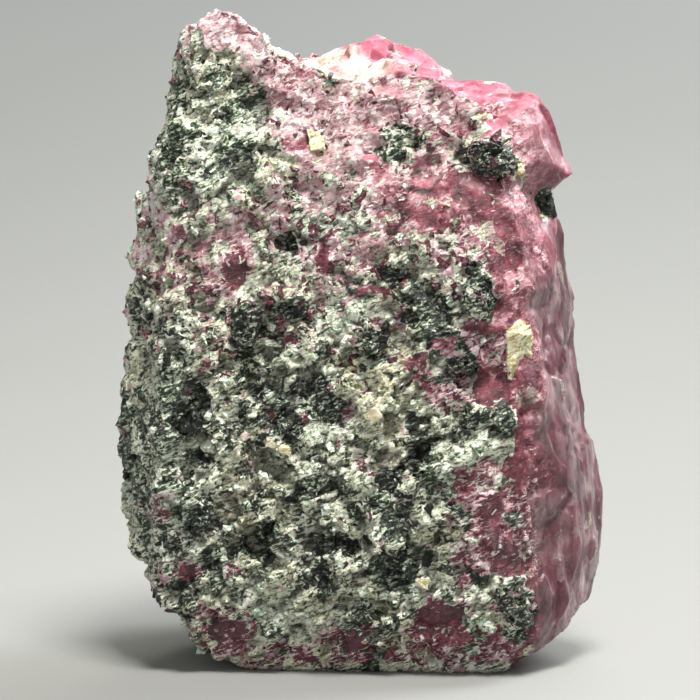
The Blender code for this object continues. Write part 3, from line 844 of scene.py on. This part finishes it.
# %% [markdown]
# Both kinds meet in one colour, and pale threads run through it: painted glints, small squiggles of light on
# the corundum. A thread is drawn where a noise passes through its middle value, which gives a line that
# wanders and closes on itself.

# %% The two kinds together, with painted glints
PAINTED_GLINT = "ead8cf"
THREAD_SIZE, THREAD_WIDTH = 0.45, 0.035  # how tightly a thread curls, in mm, and how wide it is
HEART_SIZE = 0.75  # in mm, of the tone changes inside the clear corundum


def corundum_colour(tree, flat, streaks, share, chance, facet, to_edge):
    """Clean or rough corundum, with pale threads of painted glint."""
    hearts = add(tree, "TexNoise", {"Vector": flat, "Scale": 1.0 / HEART_SIZE, "Detail": 3.0})["Fac"]
    clean = clean_colour(tree, flat, share, facet, to_edge, hearts)
    dusted = rough_colour(tree, share, chance, streaks, hearts)
    both = add(tree, "Mix", {0: share["rough"], 6: clean, 7: dusted}, data_type="RGBA")[2]
    # painted glints: pale squiggles of light on the corundum
    threads = add(tree, "TexNoise", {"Vector": flat, "Scale": 1.0 / THREAD_SIZE, "Detail": 2.0})["Fac"]
    aside = add(tree, "Math", {0: threads, 1: 0.5}, operation="SUBTRACT")[0]
    aside = add(tree, "Math", {0: aside}, operation="ABSOLUTE")[0]
    reach = add(tree, "Math", {0: share["frost"], 1: THREAD_WIDTH}, operation="MULTIPLY")[0]
    thread = add(tree, "Math", {0: aside, 1: reach}, operation="LESS_THAN")[0]
    bright = add(tree, "MapRange", {"Value": share["rough"], "To Min": 0.08, "To Max": 0.25})[0]
    thread = add(tree, "Math", {0: thread, 1: bright}, operation="MULTIPLY")[0]
    return add(tree, "Mix", {0: thread, 6: both, 7: linear(PAINTED_GLINT)}, data_type="RGBA")[2]


print("threads curl every", THREAD_SIZE, "mm")

# %% [markdown]
# The crust is nearly black amphibole, grey-green where it is thin or bruised, and ivory to grey-green
# feldspar. Its hollows are painted darker, as painted shade: shading alone would leave them too light, so the
# relief is handed to the colour as a share.

# %% The colour of the crust
BLACK = ((0.30, "0b0c07"), (0.48, "282d21"), (0.62, "7c8272"), (0.78, "cfd4c8"))  # amphibole
MOSS = ((0.20, "0d1309"), (0.38, "374c2f"), (0.54, "809876"), (0.72, "cedbc0"))
IVORY = ((0.08, "3f4b36"), (0.20, "90a184"), (0.34, "d0dcc2"), (0.52, "fcfcee"))  # feldspar
STAINED = ((0.10, "7a6f48"), (0.30, "c3ba8c"), (0.58, "f8f4dc"))
TROUGH_CREAM_AND_LIGHT = ((0.10, "b59d78"), (0.26, "e5d9ba"), (0.45, "fbf8ec"))  # feldspar dust on the broken top, partly painted light from the lamp above
HOLLOW_PAINTED_SHADE = "14140d"  # painted shade in the deepest hollows of the relief


def crust_colour(tree, share, is_dark, tone):
    """Black to grey-green amphibole, or ivory to grey-green and iron-stained feldspar."""
    black, moss, ivory, stained = (add(tree, "ValToRGB", {"Fac": tone}, stops)["Color"]
                                   for stops in (BLACK, MOSS, IVORY, STAINED))
    amphibole = add(tree, "Mix", {0: share["green"], 6: black, 7: moss}, data_type="RGBA")[2]
    feldspar = add(tree, "Mix", {0: share["warm"], 6: ivory, 7: stained}, data_type="RGBA")[2]
    grains = add(tree, "Mix", {0: is_dark, 6: feldspar, 7: amphibole}, data_type="RGBA")[2]
    # painted shade: the crust is darkened towards near black in the deepest hollows
    deep = add(tree, "MapRange", {"Value": share["low"], "From Min": 0.62, "From Max": 0.98,
                                  "To Max": 0.65})[0]
    return add(tree, "Mix", {0: deep, 6: grains, 7: linear(HOLLOW_PAINTED_SHADE)}, data_type="RGBA")[2]


print("lightest colour of the crust in linear light:", [round(c, 3) for c in linear(IVORY[-1][1])])

# %% [markdown]
# Next, every cell leans its own way and the streaks become fine ridges. Broken rock is made of tiny flat
# faces, and it is these that catch the light as hundreds of glints. Each would cost several triangles, so
# the smallest ones only turn the shading normal.

# %% How the small faces lean, and how glossy they are
RIDGE_RELIEF, CLEAN_RELIEF = 0.11 * MM, 0.010 * MM  # of the finest ridges in the crust, on the clean side
CRUST_TILT, HEART_TILT, CLEAN_TILT = 0.60, 0.22, 0.50  # how far facets lean, against a normal of length 1
CLEAR_GLOSS, GLOW_GLOSS = 0.18, 0.22  # roughness of a crack's face, and what the glow adds to it
WORN_GLOSS = 0.07  # how much duller the worn clean side is than a crack's face
MATT_BREAK = 0.45  # how much duller still the broken top is, for it is hackly too finely to draw
CRUST_GLOSS = 0.36  # roughness of the grains


def leaning_normal(tree, share, coarse, fine, facet, streaks):
    """The skin's normal, leaning with its cells or with its drawn-out facet, and ridged by the streaks."""
    lean = add(tree, "VectorMath", {0: coarse, 1: fine}, operation="ADD")[0]
    lean = add(tree, "VectorMath", {0: lean, 1: (1.0, 1.0, 1.0)}, operation="SUBTRACT")[0]
    flatter = add(tree, "MapRange", {"Value": share["clear"], "To Min": CRUST_TILT, "To Max": HEART_TILT})[0]
    steep = add(tree, "Math", {0: share["rough"], 1: flatter}, operation="MULTIPLY")[0]
    lean = add(tree, "VectorMath", {0: lean, "Scale": steep}, operation="SCALE")[0]
    own_lean = add(tree, "VectorMath", {0: facet, 1: (0.5, 0.5, 0.5)}, operation="SUBTRACT")[0]
    gentle = add(tree, "MapRange", {"Value": share["rough"], "To Min": CLEAN_TILT, "To Max": 0.0})[0]
    own_lean = add(tree, "VectorMath", {0: own_lean, "Scale": gentle}, operation="SCALE")[0]
    lean = add(tree, "VectorMath", {0: lean, 1: own_lean}, operation="ADD")[0]
    normal = add(tree, "VectorMath", {0: add(tree, "NewGeometry")["Normal"], 1: lean}, operation="ADD")[0]
    normal = add(tree, "VectorMath", {0: normal}, operation="NORMALIZE")[0]
    relief = add(tree, "Mix", {0: share["rough"], 2: CLEAN_RELIEF, 3: RIDGE_RELIEF})[0]
    return add(tree, "Bump", {"Height": streaks, "Normal": normal, "Distance": relief})[0]


def skin_roughness(tree, share, is_crust):
    """Glossy in the cracks, duller where worn, and nearly matt on the broken top."""
    gloss = add(tree, "Math", {0: share["painted_glow"], 1: GLOW_GLOSS, 2: CLEAR_GLOSS},
                operation="MULTIPLY_ADD")[0]
    gloss = add(tree, "Math", {0: share["rough"], 1: -WORN_GLOSS, 2: gloss}, operation="MULTIPLY_ADD")[0]
    gloss = add(tree, "Math", {0: gloss, 1: WORN_GLOSS})[0]
    matt = add(tree, "MapRange", {"Value": share["painted_glow"], "From Min": 0.82, "From Max": 1.0,
                                  "To Max": MATT_BREAK})[0]
    matt = add(tree, "Mix", {0: share["rough"], 2: matt, 3: 0.0})[0]
    gloss = add(tree, "Math", {0: gloss, 1: matt})[0]
    return add(tree, "Mix", {0: is_crust, 2: gloss, 3: CRUST_GLOSS})[0]


print("a crust facet leans up to", round(math.degrees(math.atan(CRUST_TILT))), "degrees along each axis")

# %% [markdown]
# Last, each cell draws a chance and is the mineral whose share on the skin is above it, so the painted shares
# turn into separate grains with crisp edges. Mixing the colours by their shares would give a grey mud. The
# corundum is translucent at most: light wanders a little way into it and comes out pink, which subsurface
# scattering does. Full transmission would show the floor through the stone, and nothing shows through this.

# %% The skin's material: bare corundum with amphibole and feldspar grains
CORUNDUM_IOR = 1.76
BROKEN_UP = 0.40  # share of the coarse cells that are broken up into fine ones
STREAK_WAVE = 0.9  # how much the streaks shift the edge between two minerals
GLOW_DEPTH, MILKY = 0.4 * MM, 0.28  # how far light wanders inside the corundum, and how much of it does
GLOW_TINT = (1.0, 0.55, 0.60)  # red light wanders farthest
BROKEN_GLOSS = 0.35  # specular level; steps too fine to draw break up some of the gleam


def crystal_material():
    """Cleaved corundum, clear to milky and glossy, locked with dull, splintery grains of its mother rock."""
    material, tree, shader = new_material("corundum_with_rock_crust")
    share = {name: add(tree, "Attribute", attribute_name=name)["Fac"] for name in SHARES}
    flat, ragged, streaks = pattern_places(tree)
    coarse = add(tree, "TexVoronoi", {"Vector": ragged, "Scale": 1.0 / COARSE_GRAIN})["Color"]
    fine = add(tree, "TexVoronoi", {"Vector": ragged, "Scale": 1.0 / FINE_GRAIN})["Color"]
    big = add(tree, "SeparateColor", {"Color": coarse})
    small = add(tree, "SeparateColor", {"Color": fine})
    broken_up = add(tree, "Math", {0: big["Green"], 1: BROKEN_UP}, operation="LESS_THAN")[0]
    mineral = add(tree, "Mix", {0: broken_up, 2: big["Red"], 3: small["Red"]})[0]
    cover = add(tree, "Mix", {0: broken_up, 2: big["Blue"], 3: small["Blue"]})[0]
    wavy = add(tree, "Math", {0: streaks, 1: STREAK_WAVE, 2: mineral}, operation="MULTIPLY_ADD")[0]
    wavy = add(tree, "Math", {0: wavy, 1: STREAK_WAVE / 2.0}, operation="SUBTRACT")[0]
    ahead = add(tree, "Math", {0: share["amphibole"], 1: wavy}, operation="SUBTRACT")[0]
    is_dark = add(tree, "MapRange", {"Value": ahead, "From Min": -0.10, "From Max": 0.10})[0]
    ahead = add(tree, "Math", {0: cover, 1: share["bare"]}, operation="SUBTRACT")[0]
    is_crust = add(tree, "MapRange", {"Value": ahead, "From Min": -0.02, "From Max": 0.04})[0]
    facet, to_edge = drawn_facets(tree, flat)
    corundum = corundum_colour(tree, flat, streaks, share, small["Blue"], facet, to_edge)
    tone = tone_with_gap_shade(tree, ragged, streaks, small["Green"])
    creamy = add(tree, "ValToRGB", {"Fac": tone}, TROUGH_CREAM_AND_LIGHT)["Color"]
    corundum = add(tree, "Mix", {0: share["cream"], 6: corundum, 7: creamy}, data_type="RGBA")[2]
    crust_grain = crust_colour(tree, share, is_dark, tone)
    colour = add(tree, "Mix", {0: is_crust, 6: corundum, 7: crust_grain}, data_type="RGBA")[2]
    milky = add(tree, "MapRange", {"Value": is_crust, "To Min": MILKY, "To Max": 0.0})[0]
    set_shader(tree, shader, Base_Color=colour, Roughness=skin_roughness(tree, share, is_crust),
               Normal=leaning_normal(tree, share, coarse, fine, facet, streaks), IOR=CORUNDUM_IOR,
               Specular_IOR_Level=BROKEN_GLOSS, Subsurface_Weight=milky, Subsurface_Scale=GLOW_DEPTH,
               Subsurface_Radius=GLOW_TINT)
    return material


skin_mesh.materials.append(crystal_material())
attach(crystal_skin, "root")
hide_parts("sapphire_crystal")
print("skin material nodes:", len(skin_mesh.materials[0].node_tree.nodes))

# %% [markdown]
# The grains have one material for each mineral. Amphibole is nearly black and splits along two cleavages
# that gleam. Feldspar is ivory to grey-green and a little translucent. Mica lies in thin bright plates. The
# tint of each grain is drawn at random for each separate island of the mesh. A material for every tint would
# do the same with hundreds of materials.

# %% Materials of the loose-looking grains
GRAIN_RELIEF = 0.07 * MM  # of the finest ridges on a grain
GRAIN_GLOW = 0.2 * MM  # how far light wanders inside a milky grain


def grain_material(name, stops, roughness, milky, ior):
    """A mineral grain: its own tint, fine cleavage ridges and a gleam."""
    material, tree, shader = new_material(name)
    chance = add(tree, "NewGeometry")["Random Per Island"]
    _, ragged, streaks = pattern_places(tree)
    tint = add(tree, "ValToRGB", {"Fac": tone_with_gap_shade(tree, ragged, streaks, chance)}, stops)["Color"]
    ridges = add(tree, "Bump", {"Height": streaks, "Distance": GRAIN_RELIEF})[0]
    set_shader(tree, shader, Base_Color=tint, Roughness=roughness, Normal=ridges, IOR=ior,
               Specular_IOR_Level=BROKEN_GLOSS, Subsurface_Weight=milky, Subsurface_Scale=GRAIN_GLOW)
    return material


# Freshly cleaved: black with grey-green splinters; its palest tints are painted glints along the cleavage.
AMPHIBOLE = grain_material("cleaved_amphibole", ((0.33, "060805"), (0.50, "1d241a"), (0.65, "57624f"),
                                                 (0.82, "b4bcaa")), roughness=0.28, milky=0.0, ior=1.65)
# Cleaved, with a silky, slightly milky face.
FELDSPAR = grain_material("cleaved_feldspar", ((0.08, "46523d"), (0.21, "92a387"), (0.36, "d1dcc4"),
                                               (0.54, "fcfcee")), roughness=0.36, milky=0.3, ior=1.53)
# Split into sheets as smooth as glass, so a plate flashes when it faces the light; on bare corundum its
# near-white tint is partly painted glint.
MICA_AND_GLINTS = grain_material("mica_and_glint_plate", ((0.1, "c6c3b4"), (0.9, "fbf8ef")), roughness=0.18, milky=0.0, ior=1.60)
# Weathered and stained by iron: cream to ochre, waxy and a little dull.
CREAM = grain_material("iron_stained_feldspar", ((0.05, "94804f"), (0.25, "d0c292"), (0.55, "f5eed4")),
                       roughness=0.40, milky=0.4, ior=1.53)
# Shells broken off the crystal: wine red to pale pink, with a glassy face.
CHIP = grain_material("corundum_chip", ((0.2, "42202a"), (0.55, "75424c"), (0.9, "b98e94")),
                      roughness=0.20, milky=0.2, ior=CORUNDUM_IOR)
print("grain materials:", [m.name for m in (AMPHIBOLE, FELDSPAR, MICA_AND_GLINTS, CREAM, CHIP)])

# %% [markdown]
# Grains are scattered on the skin's own small faces. The painted shares say how likely a face is to carry
# each mineral, so the grains thin out where the corundum is bare. A particle system could scatter them, but
# its copies aren't real geometry. Here every grain is stamped into one mesh, always with the same chances.

# %% Scattering the grains
OPEN_BREAK = 0.1  # a share of broken top above which no grain sits
CREST_FOOT, CREST_LEFT = 21.3, -2.8  # in mm; no grain sits on the crest behind the trough either
FOOT_CLEARANCE = (0.15, 0.45)  # in mm; grains thin out here, just above the flat foot
WORN_LOSS = 0.3  # the worn side has lost so many of its grains
SIZE_SPREAD, SHAPE_SPREAD = (0.8, 1.25), (0.7, 1.3)  # how much the grains differ
MICA_ON_CRUST, MICA_GLINTS_ON_BARE, CHIPS_ON_BARE = 0.15, 0.8, 0.05  # how likely each is there
BELOW = 0.25  # the share of the dust that lies low down
FEWEST, FULL_FROST = 0.1, 6.0  # the share where there's no frost, and how soon frost carries it all


def every(items, value, width=1, kind=float):
    """One value of every face or corner of the skin, as an array."""
    values = np.empty(len(items) * width, kind)
    items.foreach_get(value, values)
    return values.reshape(-1, width) if width > 1 else values


faces = skin_mesh.polygons
face_centre, face_normal = every(faces, "center", 3), every(faces, "normal", 3)
face_area = every(faces, "area")
corner_point = every(skin_mesh.loops, "vertex_index", kind=np.int64)
face_point = corner_point[every(faces, "loop_start", kind=np.int64)]
face_share = {name: share[face_point] for name, share in SHARES.items()}
off_the_foot = ease(*FOOT_CLEARANCE, face_centre[:, 2] / MM)
print("skin, square mm:", round(face_area.sum() / MM ** 2))


def scatter(name, material, count, weight, sizes, stretch, cuts, lean, sink, seed):
    """Stamps so many grains on the skin, at random places weighted by a share."""
    rng = random.Random(seed)
    templates = [cleaved_grain(rng, stretch, cuts) for _ in range(TEMPLATES)]
    weight = weight * face_area * off_the_foot
    chosen = np.random.default_rng(seed).choice(len(faces), count, replace=False, p=weight / weight.sum())
    bm = bmesh.new()
    for face in chosen:
        size = rng.uniform(*sizes) * rng.uniform(*SIZE_SPREAD) * MM
        shape = [size * rng.uniform(*SHAPE_SPREAD) for _ in range(3)]
        matrix = seat(Vector(face_centre[face]), Vector(face_normal[face]), shape,
                      rng.uniform(0.0, math.tau), rng.gauss(0.0, lean), sink)
        stamp(bm, rng.choice(templates), matrix)
    for v in bm.verts:
        v.co.z = max(v.co.z, LOW.z)
    return piece(name, bm, material)


closed = np.maximum(np.maximum(top, over_back), peak)[face_point] < OPEN_BREAK
closed &= (face_centre[:, 2] / MM < CREST_FOOT) | (face_centre[:, 0] / MM < CREST_LEFT)
crust_face = (1.0 - face_share["bare"]) ** 3 * closed * (1.0 - WORN_LOSS * worn[face_point])
dark_face = face_share["amphibole"]
bare_rough = face_share["bare"] * face_share["rough"] * closed * (1.0 - clean_side[face_point])
bare_rough = bare_rough * (BELOW + (1.0 - BELOW) * upper[face_point])
bare_rough = bare_rough * np.clip(FULL_FROST * face_share["frost"], FEWEST, 1.0)
scatter("amphibole_grains", AMPHIBOLE, 1300, crust_face * dark_face ** 2, sizes=(0.16, 0.42),
        stretch=(0.8, 1.4, 0.7), cuts=6, lean=0.6, sink=0.70, seed=11)
scatter("feldspar_grains", FELDSPAR, 3000, crust_face * (1.0 - dark_face) ** 2, sizes=(0.12, 0.36),
        stretch=(1.0, 1.3, 0.7), cuts=5, lean=0.6, sink=0.60, seed=12)
# on bare corundum, the near-white plates are partly mica and partly painted glints
scatter("mica_and_glint_plates", MICA_AND_GLINTS, 2600, MICA_ON_CRUST * crust_face + MICA_GLINTS_ON_BARE * bare_rough,
        sizes=(0.05, 0.14), stretch=(1.5, 0.7, 0.25), cuts=2, lean=0.7, sink=0.05, seed=13)
scatter("corundum_chips", CHIP, 900, bare_rough * (CHIPS_ON_BARE + crust_face), sizes=(0.16, 0.40),
        stretch=(1.3, 1.0, 0.6), cuts=4, lean=0.5, sink=0.40, seed=14)

# %% [markdown]
# The largest crystals in the crust are easy to tell apart, so each is placed one by one. The line of sight to
# its middle meets the skin, and the crystal is set into the skin there, along the mean slope. The slope of
# one point would be simpler, but would tilt it with whatever grain lies there.

# %% Where a large crystal sits
SKIN_TREE = BVHTree.FromPolygons([v.co for v in skin_mesh.vertices],
                                 [face.vertices[:] for face in skin_mesh.polygons])


def sight_line(x, height):
    """Where the eye is, and which way it looks at a place on the card."""
    forwards, up = (Vector(way) for way in sight())
    eye = Vector(SEEN_MIDDLE) - forwards * SEEN_DISTANCE
    aside = Vector(((x - SEEN_MIDDLE[0]) / CARD_SCALE, 0.0, 0.0)) + up * (height - CARD_HEIGHT) / CARD_SCALE
    return eye * MM, (forwards * SEEN_DISTANCE + aside).normalized()


def skin_at(x, height, reach):
    """The mean place and mean normal of the skin, within reach of where the eye meets it."""
    eye, look = sight_line(x, height)
    place = SKIN_TREE.ray_cast(eye, look)[0]
    if place is None:  # just past the outline, so the crystal sits on its edge
        place = SKIN_TREE.find_nearest(Vector((x, 0.0, height)) * MM)[0]
    around_it = SKIN_TREE.find_nearest_range(place, reach)
    place = sum((hit[0] for hit in around_it), Vector()) / len(around_it)
    outward = sum((hit[1] for hit in around_it), Vector()).normalized()
    return place, outward


print("skin in the middle of the front, mm:", [round(c / MM, 1) for c in skin_at(0.0, 12.0, MM)[0]])

# %% [markdown]
# Large amphibole is a bundle of fibres, and large feldspar a stack of cleaved sheets. Their faces could stay
# flat, but a flat face of a millimetre looks cut and not broken. So they are subdivided and pushed into the
# small planes of the crust.

# %% Large crystals in the crust
BUNDLE_PLANES = ((0.55, 0.110), (0.20, 0.055))  # plane width and height, in mm
CLEAVED_PLANES = ((0.50, 0.060), (0.20, 0.020))
WEDGE_PLANES = ((0.60, 0.070), (0.22, 0.022))
BUNDLE_CUTS = 6  # cuts across each edge, so that the faces are fine enough for those planes
LEAN = 0.25  # radians, at most, that a large crystal leans
THICKNESS = 1.5  # depth of a large crystal, as a share of its smaller half size
BLACK_CRYSTALS = (  # x, height, half width, half height, turn in degrees
    (-4.15, 12.2, 0.44, 0.78, -8.0), (0.45, 11.8, 0.52, 0.55, 10.0), (-6.3, 9.1, 0.56, 0.56, 0.0),
    (-5.9, 7.65, 0.40, 0.32, 20.0), (6.50, 16.75, 0.30, 0.72, 24.0), (-1.2, 9.7, 0.42, 0.85, 12.0),
    (4.05, 8.9, 0.55, 0.32, 18.0), (1.2, 6.8, 0.90, 0.36, 35.0), (1.3, 3.3, 0.62, 0.52, -20.0),
    (3.7, 10.9, 0.42, 0.34, 0.0), (-2.6, 8.6, 0.62, 0.34, -24.0), (-2.3, 12.9, 0.70, 0.28, 14.0),
    (4.15, 13.95, 0.42, 0.75, 0.0), (4.56, 13.45, 0.22, 0.98, -4.0), (-2.6, 15.4, 0.34, 0.34, 15.0),
    (1.0, 14.2, 0.40, 0.42, 30.0), (-3.5, 5.0, 0.34, 0.42, 0.0), (-5.7, 5.5, 0.36, 0.5, 30.0),
    (5.6, 2.4, 0.62, 1.00, 0.0), (-1.0, 4.4, 0.60, 0.36, -15.0), (4.6, 18.5, 0.62, 0.48, 0.0),
)
CREAM_CRYSTALS = ((5.62, 18.05, 0.24, 0.28, 10.0),)
CREAM_WEDGES = ((5.42, 11.25, 0.54, 1.06, -8.0), (5.96, 11.45, 0.30, 0.46, 24.0))
PALE_CRYSTALS = (
    # the second is the rim glint: a pale crystal that stands for a painted highlight
    (-1.68, 19.05, 0.27, 0.46, 5.0), (4.2, 19.8, 0.30, 0.13, 12.0), (2.2, 3.0, 0.22, 0.18, 0.0),
    (-0.4, 10.8, 0.28, 0.14, 40.0), (-3.0, 7.9, 0.44, 0.14, -20.0), (0.3, 9.1, 0.28, 0.20, 30.0),
)


def break_up(template, matrix, middle, blocks):
    """Places a plain crystal, cuts its faces up and breaks them into small planes."""
    grain = bmesh.new()
    grain.from_mesh(template)
    bmesh.ops.subdivide_edges(grain, edges=grain.edges[:], cuts=BUNDLE_CUTS, use_grid_fill=True)
    grain.transform(matrix)
    for v in grain.verts:
        away = (v.co - middle).normalized()
        v.co += away * planes(v.co / MM, blocks) * MM
    grain.to_mesh(template)
    grain.free()


def large_crystals(name, material, crystals, shape_of, proud, blocks, seed):
    """One piece with a large crystal of that shape at each place, standing so proud, broken into planes."""
    rng = random.Random(seed)
    bm = bmesh.new()
    for x, height, half_width, half_height, turn in crystals:
        place, outward = skin_at(x, height, max(half_width, half_height) * MM)
        template = shape_of(rng)
        depth = THICKNESS * min(half_width, half_height)
        shape = Matrix.Diagonal((2.0 * half_width * MM, depth * MM, 2.0 * half_height * MM, 1.0))
        turned = outward.to_track_quat("-Y", "Z").to_matrix().to_4x4()
        turned = turned @ Matrix.Rotation(math.radians(-turn), 4, "Y")
        for axis in "XZ":
            turned = turned @ Matrix.Rotation(rng.uniform(-LEAN, LEAN), 4, axis)
        middle = place + outward * (proud - 0.5) * depth * MM
        break_up(template, Matrix.Translation(middle) @ turned @ shape, middle, blocks)
        bm.from_mesh(template)
    return piece(name, bm, material)


large_crystals("large_amphibole_crystals", AMPHIBOLE, BLACK_CRYSTALS, large_block,
               proud=0.36, blocks=BUNDLE_PLANES, seed=31)
large_crystals("large_cream_feldspar", CREAM, CREAM_CRYSTALS, tablet,
               proud=0.30, blocks=CLEAVED_PLANES, seed=32)
large_crystals("cream_feldspar_wedges", CREAM, CREAM_WEDGES, kite_wedge,
               proud=0.42, blocks=WEDGE_PLANES, seed=34)
large_crystals("large_pale_feldspar", CREAM, PALE_CRYSTALS, tablet,
               proud=0.45, blocks=CLEAVED_PLANES, seed=33)

# %% [markdown]
# ## The studio
#
# A pale sweep runs under the crystal and up behind it. A plane and a wall would do, but their corner draws a
# line behind the stone. So one edge is extruded backwards, round a wide bend and up.

# %% The pale sweep
SWEEP_WIDTH, SWEEP_FRONT, SWEEP_BACK, SWEEP_RISE = 900 * MM, -260 * MM, 45 * MM, 520 * MM
SWEEP_BEND, BEND_STEPS = 300 * MM, 16  # radius, and faces round the bend


def pale_card():
    """Pressed card: matt and pale grey, with no gleam."""
    material, tree, shader = new_material("pale_grey_card")
    set_shader(tree, shader, Base_Color=linear("949592"), Roughness=0.9)
    return material


def sweep():
    """A floor that bends up into a back wall: one edge, extruded back, round the bend and up."""
    bm = bmesh.new()
    ends = [bm.verts.new((side * SWEEP_WIDTH / 2, SWEEP_FRONT, 0.0)) for side in (-1.0, 1.0)]
    bm.edges.new(ends)
    path = [Vector((0.0, SWEEP_BACK, 0.0))]
    for step in range(1, BEND_STEPS + 1):
        turn = math.radians(90.0 * step / BEND_STEPS)
        path.append(Vector((0.0, math.sin(turn), 1.0 - math.cos(turn))) * SWEEP_BEND + path[0])
    path.append(Vector((0.0, SWEEP_BACK + SWEEP_BEND, SWEEP_RISE)))
    last, edge = Vector((0.0, SWEEP_FRONT, 0.0)), bm.edges[:]
    for stop in path:
        made = bmesh.ops.extrude_edge_only(bm, edges=edge)["geom"]
        edge = [e for e in made if isinstance(e, bmesh.types.BMEdge)]
        moved = [v for v in made if isinstance(v, bmesh.types.BMVert)]
        bmesh.ops.translate(bm, verts=moved, vec=stop - last)
        last = stop
    bmesh.ops.recalc_face_normals(bm, faces=bm.faces[:])
    mesh = mesh_from(bm, "sweep")
    mesh.shade_smooth()
    mesh.materials.append(pale_card())
    obj = in_scene("sweep", mesh)
    return obj


print("sweep faces:", len(sweep().data.polygons))

# %% [markdown]
# Broken rock needs a light small enough to make it glint, and soft enough for its shadows to stay open. So
# one bright panel hangs above and a little in front. Weak wide ones fill the back and the front, a large one
# lights the wall, and a pale room keeps every shadow from going black. A bare lamp would burn white spots
# into the facets, and a room light alone would leave the crust flat.

# %% Lights
AIM = Vector((0.0, 0.0, 12 * MM))
WALL_AIM = Vector((40 * MM, 200 * MM, 60 * MM))
ROOM_COLOUR, ROOM_LIGHT = "eef0ee", 0.35


def soft_light(name, place, size, radiance, colour, aim=AIM):
    """A square area light that looks at the crystal, or at aim, as bright as a panel of so much radiance."""
    light = bpy.data.lights.new(name, "AREA")
    light.shape = "SQUARE"
    light.size = size
    light.energy = math.pi * size * size * radiance
    light.color = linear(colour)[:3]
    obj = in_scene(name, light)
    obj.location = place
    obj.rotation_euler = (aim - Vector(place)).to_track_quat("-Z", "Y").to_euler()
    obj.visible_camera = False  # a panel lights the crystal, and never stands in the picture
    return obj


panels = (
    soft_light("overhead", (15 * MM, -45 * MM, 120 * MM), 34 * MM, 60.0, "fffdf8"),
    soft_light("behind", (20 * MM, 75 * MM, 95 * MM), 60 * MM, 4.2, "fffbf0"),
    soft_light("wall_wash", (230 * MM, 150 * MM, 300 * MM), 180 * MM, 19.0, "fbfcff", WALL_AIM),
    soft_light("front_fill", (-60 * MM, -160 * MM, 60 * MM), 120 * MM, 0.6, "f8f9ff"),
)
world = bpy.data.worlds.new("soft_room")
world.use_nodes = True
room = world.node_tree.nodes["Background"].inputs
room["Color"].default_value, room["Strength"].default_value = linear(ROOM_COLOUR), ROOM_LIGHT
bpy.context.scene.world = world
bpy.context.scene.view_settings.view_transform = "Standard"
print("light, watts:", {panel.name: round(panel.data.energy, 4) for panel in panels})

# %% [markdown]
# The camera is where the eye was when the patches were laid out, so that each of them shows in its place.
# Its lens is worked out from the width that it has to cover at the crystal.

# %% The camera
VIEW_WIDTH = 25.05  # mm that the picture covers at the crystal
SENSOR_WIDTH = 36.0  # mm, as on a full-frame camera
NEAREST, FARTHEST = 1 * MM, 3.0  # metres; nothing nearer or farther is drawn
CAMERA_AIM = Vector(SEEN_MIDDLE) * MM

camera = bpy.data.cameras.new("camera")
camera.sensor_width = SENSOR_WIDTH
camera.lens = SENSOR_WIDTH * SEEN_DISTANCE / VIEW_WIDTH
camera.clip_start, camera.clip_end = NEAREST, FARTHEST
camera_object = in_scene("camera", camera)
camera_object.location = CAMERA_AIM - Vector(sight()[0]) * SEEN_DISTANCE * MM
camera_object.rotation_euler = (CAMERA_AIM - camera_object.location).to_track_quat("-Z", "Y").to_euler()
bpy.context.scene.camera = camera_object
print("lens, mm:", round(camera.lens, 1))
